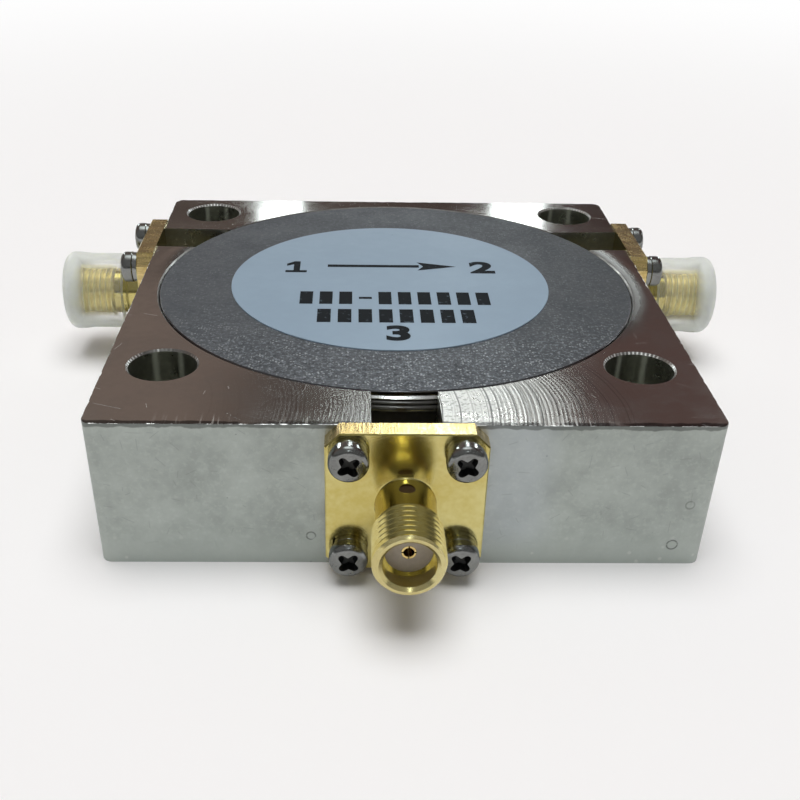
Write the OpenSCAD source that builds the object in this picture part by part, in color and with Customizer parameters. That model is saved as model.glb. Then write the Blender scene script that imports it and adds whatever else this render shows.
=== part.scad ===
// Three-port coaxial circulator for the VHF band: a milled steel block with a screwed-in
// cover over the junction, and three threaded coaxial jacks bolted to its sides.
// The origin is the centre of the four mounting holes on the underside of the block.
// Port 1 is on the left, port 2 on the right and port 3 at the front, towards -Y.

/* [Block] */
// Thickness of the block's floor under the cavity
floor_t = 2.4; // [2:0.1:4]
// Steel left between the cavity and each side face
side_wall = 2.2; // [2:0.1:6]
// Steel left between the cavity and the back face
back_wall = 2.2; // [2:0.1:6]
// Steel left between the cavity and the front face
front_wall = 6.2; // [5:0.1:9]
// Radius of the block's four upright edges
corner_r = 1; // [0.5:0.1:2]
// Width of the milled slot behind each jack
slot_w = 6.3; // [5.5:0.1:7.5]
// Distance of the two side ports behind the cover's axis
side_port_offset = 14.1; // [13:0.1:15]

/* [Mounting holes] */
// Diameter of the four through holes
mount_d = 6.6; // [5.5:0.1:6.8]
// Chamfer on both mouths of each hole
mount_chamfer = 0.2; // [0.1:0.05:0.3]
// From a hole's axis to the nearer side face
mount_from_side = 5.5; // [5:0.1:5.8]
// From the rear holes' axis to the back face
mount_from_back = 5; // [4.5:0.1:5.2]
// From the front holes' axis to the front face
mount_from_front = 11.5; // [10:0.1:12]

/* [Cover and label] */
// Diameter of the round cover
cover_d = 52.4; // [51:0.1:58]
// Thickness of the cover
cover_t = 2.2; // [1.8:0.1:3]
// Chamfer on the cover's top edge
cover_chamfer = 0.2; // [0.1:0.05:0.4]
// Gap all round the cover in its threaded bore
cover_gap = 0.1; // [0.05:0.01:0.2]
// Depth of the threaded bore below the cover
thread_runout = 0.8; // [0.5:0.1:1]
// Chamfer on the mouth of the bore
bore_chamfer = 0.6; // [0.3:0.05:0.7]
// Diameter of the label
label_d = 35.5; // [30:0.5:42]
// Thickness of the label
label_t = 0.12; // [0.1:0.01:0.3]
// How far the label was stuck off centre, to the left
label_shift = 0.6; // [0:0.1:2]

/* [Junction] */
// Diameter of the magnets, pole plates, shim and spacer rings
stack_d = 50; // [48:0.1:50.4]
// Gap all round the stack in the cavity
stack_gap = 0.2; // [0.1:0.05:0.4]
// Thickness of the temperature compensation shim
shim_t = 0.8; // [0.5:0.1:1.5]
// Thickness of each magnet
magnet_t = 1.9; // [1.5:0.1:4]
// Thickness of each pole plate
pole_t = 0.8; // [0.5:0.1:1.5]
// Diameter of each ferrite disc
ferrite_d = 32; // [28:0.5:33]
// Thickness of each ferrite disc
ferrite_t = 1.95; // [1.8:0.05:3]
// Thickness of the centre conductor
conductor_t = 0.3; // [0.2:0.05:0.4]
// Diameter of the conductor's round middle
conductor_d = 20; // [14:0.5:26]
// Width of the conductor's arms
arm_w = 3; // [2:0.1:4]
// Gap between a ferrite and its spacer ring
ring_gap = 0.1; // [0.05:0.01:0.2]
// Thickness of the spacer ring's inner wall
ring_wall = 0.9; // [0.7:0.1:1.2]
// Length of a chip capacitor along its arm
capacitor_l = 2.5; // [2:0.1:3]
// Width of a chip capacitor across its arm
capacitor_w = 3; // [2:0.1:4]
// Air kept between a capacitor and its neighbours
capacitor_gap = 0.3; // [0.2:0.05:0.5]

/* [Jacks] */
// Width and height of the square flange
flange_w = 14.4; // [13.6:0.1:15]
// Thickness of the flange
flange_t = 2; // [1.5:0.1:2.5]
// Size of the flange's cut corners
flange_cut = 1.3; // [0.8:0.1:1.6]
// Diameter of the plain neck
neck_d = 5.5; // [5.2:0.05:5.6]
// Length of the plain neck
neck_l = 4; // [3.5:0.1:4.5]
// Diameter over the 1/4-36 thread
thread_d = 6.35; // [6.2:0.05:6.4]
// Length of the threaded barrel
barrel_l = 5.3; // [5:0.1:6]
// Chamfer at the open end of the thread
tip_chamfer = 0.3; // [0.2:0.05:0.35]
// Chamfer at the inner end of the thread
root_chamfer = 0.35; // [0.2:0.05:0.4]
// Diameter of the counterbore in the open end
counterbore_d = 4.6; // [4.5:0.01:4.7]
// Depth of the counterbore
counterbore_l = 2.1; // [1.9:0.05:2.3]
// Chamfer at the mouth of the counterbore
mouth_chamfer = 0.3; // [0.2:0.05:0.35]
// Diameter of the insulator
insulator_d = 4.1; // [4:0.05:4.3]
// Length of insulator behind the flange
insulator_tail = 1.5; // [0.5:0.1:2]
// Gap between insulator and jack, and insulator and contact
insulator_gap = 0.02; // [0.01:0.01:0.05]
// Diameter of the centre contact
contact_d = 1.27; // [1.2:0.01:1.35]
// Diameter of the socket in the contact
socket_d = 0.94; // [0.9:0.01:0.96]
// Depth of the socket
socket_l = 3; // [2.5:0.1:3.5]
// Width of the slits in the contact
slit_w = 0.12; // [0.1:0.01:0.15]
// Length of the slits
slit_l = 2.4; // [2:0.1:2.9]
// Length of arm held in the contact's sawn rear end
tongue_l = 1.6; // [1:0.1:2]
// Diameter of the cast lock in the neck
lock_d = 1.4; // [1.2:0.1:1.5]
// Distance of the lock from the flange's face
lock_from_flange = 1.6; // [1.2:0.1:1.8]
// How far the lock lies below the neck's surface
lock_recess = 0.15; // [0.1:0.05:0.3]

/* [Screws] */
// Distance between the screws of one jack, both ways
screw_pitch = 10.2; // [9.8:0.1:10.4]
// Diameter of the screw's thread
screw_d = 2; // [1.8:0.1:2.1]
// Length of the screw under its head
screw_l = 5; // [4.5:0.1:5.2]
// Diameter of the pan head
head_d = 3.6; // [3.4:0.05:3.8]
// Height of the pan head
head_h = 1.5; // [1.2:0.05:1.7]
// Rounding of the head's outer edge
head_round = 0.6; // [0.4:0.05:0.6]
// Length over the cross recess
recess_l = 2.1; // [1.9:0.05:2.2]
// Width of the recess's wings
recess_w = 0.6; // [0.5:0.05:0.7]
// Depth of the recess
recess_depth = 0.8; // [0.6:0.05:0.9]
// Gap round the thread in its tapped hole
tap_gap = 0.05; // [0.02:0.01:0.1]
// Gap round the screw in the flange
clearance_gap = 0.15; // [0.1:0.05:0.25]
// Depth of hole below the screw's end
tap_runout = 0.5; // [0.3:0.1:0.6]
// Diameter over the lock washer
washer_d = 3.5; // [3.3:0.05:3.7]
// Thickness of the lock washer
washer_t = 0.6; // [0.4:0.05:0.8]
// Width of the cut through the lock washer
washer_split = 0.3; // [0.2:0.05:0.4]
// Lean of the cut through the lock washer
split_lean = 20; // [10:1:30]

/* [Dust caps] */
// Diameter of the cap's body
cap_d = 9; // [8.6:0.1:9.3]
// Diameter of the rim at its closed end
cap_rim_d = 9.5; // [9.4:0.1:10.4]
// Length of the rim
cap_rim_l = 2.3; // [1.8:0.1:3]
// Length of the whole cap
cap_l = 7.3; // [6.8:0.1:8]
// Thickness of the closed end
cap_end_t = 0.7; // [0.6:0.1:1.2]
// Gap between the cap and the thread
cap_gap = 0.05; // [0.02:0.01:0.1]
// Gap between the jack's end and the cap's closed end
cap_end_gap = 0.1; // [0.05:0.05:0.4]
// Rounding of the cap's edges
cap_round = 0.5; // [0.2:0.05:0.6]

/* [Hidden] */
$fn = 96;
// How far a cutter passes the face that it cuts
past = 0.5;
// How far a shank runs on inside its head, so that the two are one solid
shank_overlap = 0.3;

// Levels of the stacked pieces, from the floor up
shim_z = floor_t;
lower_magnet_z = shim_z + shim_t;
lower_pole_z = lower_magnet_z + magnet_t;
lower_ferrite_z = lower_pole_z + pole_t;
conductor_z = lower_ferrite_z + ferrite_t;
upper_ferrite_z = conductor_z + conductor_t;
upper_pole_z = upper_ferrite_z + ferrite_t;
upper_magnet_z = upper_pole_z + pole_t;
cover_z = upper_magnet_z + magnet_t;
body_h = cover_z + cover_t;
port_z = conductor_z + conductor_t / 2;
thread_z = cover_z - thread_runout;

// Plan of the block, from the cavity outwards
bore_d = cover_d + 2 * cover_gap;
cavity_d = stack_d + 2 * stack_gap;
body_w = bore_d + 2 * side_wall;
body_d = bore_d + back_wall + front_wall;
mount_x = body_w / 2 - mount_from_side;
mount_y = (body_d - mount_from_back - mount_from_front) / 2;
back_y = mount_y + mount_from_back;
front_y = -mount_y - mount_from_front;
cover_y = back_y - back_wall - bore_d / 2;
side_port_y = cover_y + side_port_offset;

// Along one port's own axis, measured outwards from the block's face
jack_l = flange_t + neck_l + barrel_l;
contact_z = jack_l - counterbore_l;
head_z = flange_t + washer_t;
tap_depth = screw_l - head_z + tap_runout;
lock_z = flange_t + lock_from_flange;
cap_z = jack_l + cap_end_gap + cap_end_t - cap_l;

// The junction's arms: each leaves the middle at its own angle, 120 degrees apart
ring_inner_r = ferrite_d / 2 + ring_gap;
window_r = ring_inner_r + ring_wall;
jog_r = window_r + capacitor_gap;
arm_angle = 30;
side_capacitor_x = jog_r * cos(arm_angle);
side_window_x = side_capacitor_x - capacitor_l / 2 - capacitor_gap;
front_capacitor_r = window_r + capacitor_gap + capacitor_l / 2;
side_contact_x = side_capacitor_x + capacitor_l / 2 + capacitor_gap;
front_contact_r = front_capacitor_r + capacitor_l / 2 + capacitor_gap;

// How far each contact's rear end lies behind the face of the block
side_contact_depth = body_w / 2 - side_contact_x;
front_contact_depth = cover_y - front_y - front_contact_r;

// Each screw's recess stops at its own angle, and each lock washer's cut at this one
recess_turns = [[14, 62, 38, 80], [52, 20, 71, 33], [22, 40, 45, 84]];
split_turn = 30;

steel = "silver";
gold = "goldenrod";
white = "white";

// Places its children on a port: their Z points out of the block and their Y points up
module at_port(n) {
    place = n == 3 ? [0, front_y, port_z] : [(n == 1 ? -1 : 1) * body_w / 2, side_port_y, port_z];
    turn = n == 3 ? 0 : (n == 1 ? -90 : 90);
    translate(place) rotate([0, 0, turn]) rotate([90, 0, 0]) children();
}

function contact_depth(n) = n == 3 ? front_contact_depth : side_contact_depth;

// Places its children on the cover's axis at a height
module in_cavity(z) {
    translate([0, cover_y, z]) children();
}

module at_screws() {
    for (x = [-1, 1], y = [-1, 1])
        translate([x * screw_pitch / 2, y * screw_pitch / 2, 0]) children();
}

module at_mounts() {
    for (x = [-1, 1], y = [-1, 1])
        translate([x * mount_x, y * mount_y, 0]) children();
}

// Outline of the block with its rounded upright edges
module block_outline() {
    union() {
        translate([-body_w / 2 + corner_r, front_y]) square([body_w - 2 * corner_r, body_d]);
        translate([-body_w / 2, front_y + corner_r]) square([body_w, body_d - 2 * corner_r]);
        for (x = [-1, 1], y = [front_y + corner_r, back_y - corner_r])
            translate([x * (body_w / 2 - corner_r), y]) circle(r = corner_r);
    }
}

// A through hole from z = 0 up to height h with both mouths chamfered
module chamfered_hole(d, h, c) {
    translate([0, 0, -past]) cylinder(d = d, h = h + 2 * past);
    translate([0, 0, -past]) cylinder(d1 = d + 2 * (c + past), d2 = d, h = c + past);
    translate([0, 0, h - c]) cylinder(d1 = d, d2 = d + 2 * (c + past), h = c + past);
}

// The slot and the four tapped holes behind one jack
module port_cuts(n) {
    floor_y = lower_ferrite_z - port_z;
    translate([-slot_w / 2, floor_y, -contact_depth(n)])
        cube([slot_w, body_h - port_z - floor_y + past, contact_depth(n) + past]);
    at_screws() translate([0, 0, -tap_depth])
        cylinder(d = screw_d + 2 * tap_gap, h = tap_depth + past);
}

module housing() {
    color(steel) difference() {
        linear_extrude(body_h) block_outline();
        in_cavity(floor_t) cylinder(d = cavity_d, h = body_h);
        in_cavity(thread_z) cylinder(d = bore_d, h = body_h);
        in_cavity(body_h - bore_chamfer)
            cylinder(d1 = bore_d, d2 = bore_d + 2 * (bore_chamfer + past), h = bore_chamfer + past);
        at_mounts() chamfered_hole(mount_d, body_h, mount_chamfer);
        for (n = [1:3]) at_port(n) port_cuts(n);
    }
}

module cover() {
    color("dimgray") in_cavity(cover_z) {
        cylinder(d = cover_d, h = cover_t - cover_chamfer);
        translate([0, 0, cover_t - cover_chamfer])
            cylinder(d1 = cover_d, d2 = cover_d - 2 * cover_chamfer, h = cover_chamfer);
    }
}

module label() {
    color("lightsteelblue") in_cavity(body_h) translate([-label_shift, 0, 0])
        cylinder(d = label_d, h = label_t);
}

// A plain disc of the stack
module stack_disc(z, d, t) {
    in_cavity(z) cylinder(d = d, h = t);
}

// Plan of the way for one port's contact and capacitor through a spacer ring
module ring_window(n) {
    reach = stack_d / 2 + past;
    if (n == 3) translate([-slot_w / 2, -reach]) square([slot_w, reach - window_r]);
    else translate([n == 1 ? -reach : side_window_x, side_port_offset - slot_w / 2])
        square([reach - side_window_x, slot_w]);
}

// Moulded ring that keeps a ferrite disc in the middle of the cavity
module spacer_ring(z) {
    color(white) in_cavity(z) linear_extrude(ferrite_t) difference() {
        circle(d = stack_d);
        circle(r = ring_inner_r);
        for (n = [1:3]) ring_window(n);
    }
}

// A flat strip of metal from one point to another, with round ends
module strip(from, to) {
    run = to - from;
    translate(from) rotate(atan2(run[1], run[0]))
        translate([0, -arm_w / 2]) square([norm(run), arm_w]);
    translate(from) circle(d = arm_w);
    translate(to) circle(d = arm_w);
}

module centre_conductor() {
    bend = jog_r * [cos(arm_angle), sin(arm_angle)];
    corner = [side_capacitor_x, side_port_offset];
    color("peru") in_cavity(conductor_z) linear_extrude(conductor_t) {
        circle(d = conductor_d);
        for (side = [-1, 1]) {
            strip([0, 0], [bend[0] * side, bend[1]]);
            strip([bend[0] * side, bend[1]], [corner[0] * side, corner[1]]);
            translate([side > 0 ? corner[0] : -side_contact_x - tongue_l, side_port_offset - contact_d / 2])
                square([side_contact_x + tongue_l - corner[0], contact_d]);
        }
        strip([0, 0], [0, -front_capacitor_r]);
        translate([-contact_d / 2, -front_contact_r - tongue_l])
            square([contact_d, front_contact_r + tongue_l - front_capacitor_r]);
    }
}

module capacitor(n) {
    place = n == 3 ? [0, -front_capacitor_r] : [(n == 1 ? -1 : 1) * side_capacitor_x, side_port_offset];
    size = n == 3 ? [capacitor_w, capacitor_l] : [capacitor_l, capacitor_w];
    color("tan") in_cavity(lower_ferrite_z) translate([place[0], place[1], ferrite_t / 2])
        cube([size[0], size[1], ferrite_t], center = true);
}

// The flange's outline: a square with its corners cut off
module flange_outline() {
    w = flange_w / 2;
    c = w - flange_cut;
    polygon([[w, c], [c, w], [-c, w], [-w, c], [-w, -c], [-c, -w], [c, -w], [w, -c]]);
}

// Half section of the jack's turned neck and threaded barrel, from the flange's back outwards
module turned_section() {
    barrel_z = flange_t + neck_l;
    neck_r = neck_d / 2;
    thread_r = thread_d / 2;
    polygon([[0, 0], [neck_r, 0], [neck_r, barrel_z], [thread_r - root_chamfer, barrel_z],
        [thread_r, barrel_z + root_chamfer], [thread_r, jack_l - tip_chamfer],
        [thread_r - tip_chamfer, jack_l], [0, jack_l]]);
}

module jack(n) {
    color(gold) at_port(n) difference() {
        union() {
            linear_extrude(flange_t) flange_outline();
            rotate_extrude() turned_section();
        }
        translate([0, 0, -past]) cylinder(d = insulator_d + 2 * insulator_gap, h = jack_l + past);
        translate([0, 0, contact_z]) cylinder(d = counterbore_d, h = counterbore_l + past);
        translate([0, 0, jack_l - mouth_chamfer])
            cylinder(d1 = counterbore_d, d2 = counterbore_d + 2 * (mouth_chamfer + past),
                     h = mouth_chamfer + past);
        at_screws() translate([0, 0, -past])
            cylinder(d = screw_d + 2 * clearance_gap, h = flange_t + 2 * past);
        lock_hole();
    }
}

// The hole for the cast lock, from the contact's surface up through the neck
module lock_hole() {
    translate([0, contact_d / 2 + insulator_gap, lock_z]) rotate([-90, 0, 0])
        cylinder(d = lock_d + 2 * insulator_gap, h = neck_d / 2);
}

module insulator(n) {
    color(white) at_port(n) difference() {
        translate([0, 0, -insulator_tail]) cylinder(d = insulator_d, h = contact_z + insulator_tail);
        translate([0, 0, -insulator_tail - past])
            cylinder(d = contact_d + 2 * insulator_gap, h = contact_z + insulator_tail + 2 * past);
        lock_hole();
    }
}

module contact(n) {
    depth = contact_depth(n);
    color(gold) at_port(n) difference() {
        translate([0, 0, -depth]) cylinder(d = contact_d, h = contact_z + depth);
        translate([0, 0, contact_z - socket_l]) cylinder(d = socket_d, h = socket_l + past);
        for (a = [0, 90]) rotate(a) translate([-contact_d, -slit_w / 2, contact_z - slit_l])
            cube([2 * contact_d, slit_w, slit_l + past]);
        translate([-contact_d, -conductor_t / 2, -depth - past])
            cube([2 * contact_d, conductor_t, tongue_l + past]);
    }
}

module epoxy_lock(n) {
    bottom = contact_d / 2 + 2 * insulator_gap;
    color("darkslategray") at_port(n) translate([0, bottom, lock_z]) rotate([-90, 0, 0])
        cylinder(d = lock_d, h = neck_d / 2 - lock_recess - bottom);
}

// Half section of a disc-shaped solid with one rounded outer edge at its top
module rounded_section(r, h, e) {
    square([r - e, h]);
    square([r, h - e]);
    translate([r - e, h - e]) circle(r = e);
}

module screw(turn) {
    translate([0, 0, head_z - screw_l]) cylinder(d = screw_d, h = screw_l + shank_overlap);
    difference() {
        translate([0, 0, head_z]) rotate_extrude() rounded_section(head_d / 2, head_h, head_round);
        for (a = [0, 90]) rotate(turn + a)
            translate([-recess_l / 2, -recess_w / 2, head_z + head_h - recess_depth])
            cube([recess_l, recess_w, recess_depth + past]);
    }
}

module screws(n) {
    places = [[-1, 1], [1, 1], [-1, -1], [1, -1]];
    color("gainsboro") at_port(n) for (i = [0:3])
        translate([places[i][0] * screw_pitch / 2, places[i][1] * screw_pitch / 2, 0])
        screw(recess_turns[n - 1][i]);
}

module lock_washers(n) {
    color("lightgray") at_port(n) at_screws() translate([0, 0, flange_t]) difference() {
        cylinder(d = washer_d, h = washer_t);
        translate([0, 0, -past]) cylinder(d = screw_d + 2 * clearance_gap, h = washer_t + 2 * past);
        translate([0, 0, washer_t / 2]) rotate([split_lean, 0, split_turn])
            translate([0, -washer_split / 2, -washer_d / 2]) cube([washer_d, washer_split, washer_d]);
    }
}

module dust_cap(n) {
    color("whitesmoke", 0.6) at_port(n) translate([0, 0, cap_z]) difference() {
        union() {
            cylinder(d = cap_d, h = cap_l - cap_rim_l + cap_round);
            translate([0, 0, cap_l - cap_rim_l])
                rotate_extrude() rounded_section(cap_rim_d / 2, cap_rim_l, cap_round);
        }
        translate([0, 0, -past])
            cylinder(d = thread_d + 2 * cap_gap, h = cap_l - cap_end_t + past);
    }
}

housing();
cover();
label();
color("slategray") stack_disc(shim_z, stack_d, shim_t);  // compensation_shim
color("darkgray") stack_disc(lower_magnet_z, stack_d, magnet_t);  // lower_magnet
color(steel) stack_disc(lower_pole_z, stack_d, pole_t);  // lower_pole_plate
color("darkslategray") stack_disc(lower_ferrite_z, ferrite_d, ferrite_t);  // lower_ferrite
spacer_ring(lower_ferrite_z);  // lower_spacer_ring
centre_conductor();
spacer_ring(upper_ferrite_z);  // upper_spacer_ring
color("darkslategray") stack_disc(upper_ferrite_z, ferrite_d, ferrite_t);  // upper_ferrite
color(steel) stack_disc(upper_pole_z, stack_d, pole_t);  // upper_pole_plate
color("darkgray") stack_disc(upper_magnet_z, stack_d, magnet_t);  // upper_magnet
capacitor(1);  // capacitor_1
capacitor(2);  // capacitor_2
capacitor(3);  // capacitor_3
jack(1);  // port_1_jack
insulator(1);  // port_1_insulator
contact(1);  // port_1_contact
epoxy_lock(1);  // port_1_epoxy_lock
screws(1);  // port_1_screws
lock_washers(1);  // port_1_lock_washers
dust_cap(1);  // port_1_dust_cap
jack(2);  // port_2_jack
insulator(2);  // port_2_insulator
contact(2);  // port_2_contact
epoxy_lock(2);  // port_2_epoxy_lock
screws(2);  // port_2_screws
lock_washers(2);  // port_2_lock_washers
dust_cap(2);  // port_2_dust_cap
jack(3);  // port_3_jack
insulator(3);  // port_3_insulator
contact(3);  // port_3_contact
epoxy_lock(3);  // port_3_epoxy_lock
screws(3);  // port_3_screws
lock_washers(3);  // port_3_lock_washers
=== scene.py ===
"""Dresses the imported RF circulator: its block, cover, label, jacks, screws and dust caps."""
import math

import bmesh
import bpy
from mathutils import Euler, Matrix, Vector, noise


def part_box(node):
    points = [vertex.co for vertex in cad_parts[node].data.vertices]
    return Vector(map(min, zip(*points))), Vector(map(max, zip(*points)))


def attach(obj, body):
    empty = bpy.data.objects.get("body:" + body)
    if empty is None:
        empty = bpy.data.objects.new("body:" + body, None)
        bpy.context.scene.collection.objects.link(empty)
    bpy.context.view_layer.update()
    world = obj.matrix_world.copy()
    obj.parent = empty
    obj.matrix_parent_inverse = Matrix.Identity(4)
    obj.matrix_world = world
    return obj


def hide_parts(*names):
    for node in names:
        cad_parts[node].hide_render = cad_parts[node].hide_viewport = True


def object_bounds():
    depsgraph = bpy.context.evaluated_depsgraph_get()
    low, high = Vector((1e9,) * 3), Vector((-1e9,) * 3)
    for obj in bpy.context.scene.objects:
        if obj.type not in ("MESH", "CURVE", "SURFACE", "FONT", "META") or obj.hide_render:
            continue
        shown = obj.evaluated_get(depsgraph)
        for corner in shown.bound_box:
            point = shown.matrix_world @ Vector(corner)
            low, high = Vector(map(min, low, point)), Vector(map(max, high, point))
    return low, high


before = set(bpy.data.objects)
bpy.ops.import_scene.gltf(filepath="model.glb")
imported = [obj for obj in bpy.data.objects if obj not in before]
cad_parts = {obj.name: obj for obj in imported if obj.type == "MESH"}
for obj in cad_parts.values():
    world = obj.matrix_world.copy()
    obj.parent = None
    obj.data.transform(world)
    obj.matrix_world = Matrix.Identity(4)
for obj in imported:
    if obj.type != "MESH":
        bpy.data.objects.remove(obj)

bl_info = {
    "name": "RF Circulator Dressing",
    "version": (1, 0, 0),
    "blender": (4, 5, 0),
    "location": "3D View > Sidebar > Circulator",
    "description": "Detailed meshes and finishes for a three-port coaxial circulator",
    "category": "Object",
}

MM = 0.001
TINY = 0.001 * MM
CAD_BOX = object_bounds()
SHARP_ANGLE = math.radians(24)


def corners(node):
    """A CAD node's lowest and highest corner."""
    low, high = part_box(node)
    return Vector(low), Vector(high)


BLOCK_LOW, BLOCK_HIGH = corners("housing")
COVER_LOW, COVER_HIGH = corners("cover")
LABEL_LOW, LABEL_HIGH = corners("label")
COVER_RADIUS = COVER_HIGH.x
BORE_Y = (COVER_LOW.y + COVER_HIGH.y) / 2
TOP_Z = BLOCK_HIGH.z
FRONT_Y = BLOCK_LOW.y
LABEL_X = (LABEL_LOW.x + LABEL_HIGH.x) / 2
LABEL_RADIUS = (LABEL_HIGH.x - LABEL_LOW.x) / 2
PORT_DIRECTIONS = {1: Vector((-1, 0, 0)), 2: Vector((1, 0, 0)), 3: Vector((0, -1, 0))}
CAPPED_PORTS = (1, 2)
HOLE_X, HOLE_Y, HOLE_RADIUS = 23.0 * MM, 22.25 * MM, 3.3 * MM
JACK_LOW, JACK_HIGH = corners("port_3_jack")
JACK_LENGTH = JACK_HIGH.y - JACK_LOW.y
LOCK_LOW, LOCK_HIGH = corners("port_3_epoxy_lock")
CAP_END = CAD_BOX[1][0]


def port_frame(number):
    """Turns a jack's own frame (Z out along its axis, Y up, origin on the block) into the part's."""
    out = PORT_DIRECTIONS[number]
    up = Vector((0, 0, 1))
    side = up.cross(out)
    low, high = corners(f"port_{number}_jack")
    middle = (low + high) / 2
    reach = abs((high - low).dot(out))
    placed = Matrix((side, up, out)).transposed().to_4x4()
    placed.translation = middle - out * reach / 2
    return placed


# Settings that a user would change

def length(name, description, millimetres):
    """A property that holds a length, with its default given in millimetres."""
    return bpy.props.FloatProperty(name=name, description=description, default=millimetres * MM,
                                   min=0.0, unit="LENGTH", precision=5)


def colour(name, description, value):
    """A property that holds a linear colour."""
    return bpy.props.FloatVectorProperty(name=name, description=description, default=value,
                                         size=3, min=0.0, max=1.0, subtype="COLOR")


def angle(name, description, degrees):
    """A property that holds an angle, with its default given in degrees."""
    return bpy.props.FloatProperty(name=name, description=description, default=math.radians(degrees),
                                   subtype="ANGLE", unit="ROTATION")


def factor(name, description, value):
    """A property that holds a share, from nought to one."""
    return bpy.props.FloatProperty(name=name, description=description, default=value,
                                   min=0.0, max=1.0, subtype="FACTOR")


class BlockSettings(bpy.types.PropertyGroup):
    edge_break: length("Edge break", "Width of the broken edge round the block's top", 0.26)
    inner_break: length("Inner edge break", "Width of the broken edges of holes and slots", 0.05)
    edge_step: length("Nick spacing", "Spacing of the nicks along the top edge", 0.45)
    nick_depth: length("Nick depth", "Deepest nick in the top edge", 0.16)
    arc_radius: length("Cutter radius", "Radius of the arcs that the cutter left on the top", 17.0)
    arc_feed: length("Cutter feed", "Distance between two of those arcs", 0.40)
    bore_chamfer: length("Bore chamfer", "Width of the chamfer round the cover", 0.15)
    roll_width: length("Edge roll", "Width of the worn slope round the bore", 2.2)
    top_colour: colour("Milled nickel", "Colour of the milled top", (0.50, 0.48, 0.45))
    side_colour: colour("Satin nickel", "Colour of the satin sides", (0.39, 0.424, 0.396))
    bore_colour: colour("Bored nickel", "Colour inside the bores and slots", (0.60, 0.61, 0.54))


class CoverSettings(bpy.types.PropertyGroup):
    thread_pitch: length("Rim thread pitch", "Pitch of the fine thread round the cover", 0.5)
    thread_depth: length("Rim thread depth", "Depth of that thread", 0.15)
    land: length("Land", "Plain stretch above the rim thread", 0.45)
    run_in: length("Run-in", "Height of the sloped groove where the thread starts", 0.38)
    edge_break: length("Edge break", "Chamfer round the cover's top", 0.1)
    disc_colour: colour("Cover plating", "Colour of the dark plated cover", (0.078, 0.085, 0.094))
    speckle: colour("Cover speckle", "Colour of the bright grains in the cover", (0.55, 0.58, 0.59))


class LabelSettings(bpy.types.PropertyGroup):
    film_colour: colour("Label film", "Colour of the label", (0.250, 0.338, 0.422))
    ink_colour: colour("Ink", "Colour of the print", (0.007, 0.009, 0.011))
    ink_height: length("Ink height", "Thickness of the printed layer", 0.012)
    row_height: length("Row height", "Height of the numerals and of the rows of bars", 3.4)


class JackSettings(bpy.types.PropertyGroup):
    flange_thickness: length("Flange thickness", "Thickness of the flange", 2.0)
    flange_cut: length("Corner cut", "Leg of the cut flange corners", 1.3)
    flange_break: length("Flange edge break", "Broken edge round the flange", 0.12)
    neck_radius: length("Neck radius", "Radius of the plain neck", 2.75)
    thread_start: length("Thread start", "Distance from the block to the end of the neck", 6.0)
    crest_radius: length("Crest radius", "Outer radius of the thread", 3.175)
    pitch: length("Thread pitch", "Pitch of the coupling thread", 0.7056)
    tip_radius: length("Tip radius", "Radius at the tip, past its chamfer", 2.875)
    counterbore_radius: length("Counterbore radius", "Radius of the counterbore", 2.3)
    counterbore_depth: length("Counterbore depth", "Depth of the counterbore", 2.1)
    lip_break: length("Lip break", "Chamfer at the mouth of the counterbore", 0.3)
    root_fillet: length("Root fillet", "Fillet between flange and neck", 0.16)
    bore_radius: length("Bore radius", "Radius of the bore round the insulator", 2.07)
    bolt_pitch: length("Screw spacing", "Spacing of the flange screws", 10.2)
    bolt_hole_radius: length("Screw hole radius", "Radius of the screw holes", 1.15)
    lock_hole_radius: length("Lock hole radius", "Radius of the epoxy lock hole in the neck",
                             (LOCK_HIGH.x - LOCK_LOW.x) / 2 / MM + 0.02)
    lock_hole_place: length("Lock hole place", "Distance of the lock hole from the block",
                            (FRONT_Y - (LOCK_LOW.y + LOCK_HIGH.y) / 2) / MM)
    gold: colour("Gold plate", "Colour of the gold plate", (0.63, 0.56, 0.24))
    gold_shade: colour("Gold shade", "Darker tone of the gold plate", (0.53, 0.43, 0.13))


class ScrewSettings(bpy.types.PropertyGroup):
    head_radius: length("Head radius", "Radius of the pan head", 1.8)
    head_height: length("Head height", "Height of the pan head", 1.5)
    head_round: length("Head rounding", "Rounding round the top of the head", 0.65)
    crown: length("Crown", "Fall of the head's top from its middle to its rounding", 0.1)
    shank_radius: length("Shank radius", "Radius of the shank", 1.0)
    shank_length: length("Shank length", "Length of the shank below the head", 5.0)
    recess_reach: length("Recess reach", "Tip to tip length of the cross recess", 2.5)
    recess_width: length("Recess width", "Width of one arm of the recess", 0.76)
    recess_depth: length("Recess depth", "Depth of the recess", 0.85)
    washer_outer: length("Washer radius", "Outer radius of the lock washer", 1.75)
    washer_inner: length("Washer bore", "Inner radius of the lock washer", 1.06)
    washer_height: length("Washer height", "Thickness of the lock washer", 0.6)
    washer_split: length("Washer split", "Gap between the washer's ends", 0.3)
    steel: colour("Screw steel", "Colour of the screws and washers", (0.25, 0.255, 0.245))


class CapSettings(bpy.types.PropertyGroup):
    wall_gap: length("Fit", "Gap between the cap and the thread's crests", 0.05)
    body_radius: length("Body radius", "Outer radius of the cap", 4.6)
    rim_length: length("Rim length", "Length of the wider end", 2.3)
    end_round: length("End rounding", "Rounding of the closed end", 1.0)
    end_wall: length("End wall", "Thickness of the closed end", 0.7)
    plastic: colour("Cap plastic", "Colour of the cloudy plastic", (0.77, 0.81, 0.78))
    haze: factor("Haze", "How much of the light one surface of the cap stops", 0.10)


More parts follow.
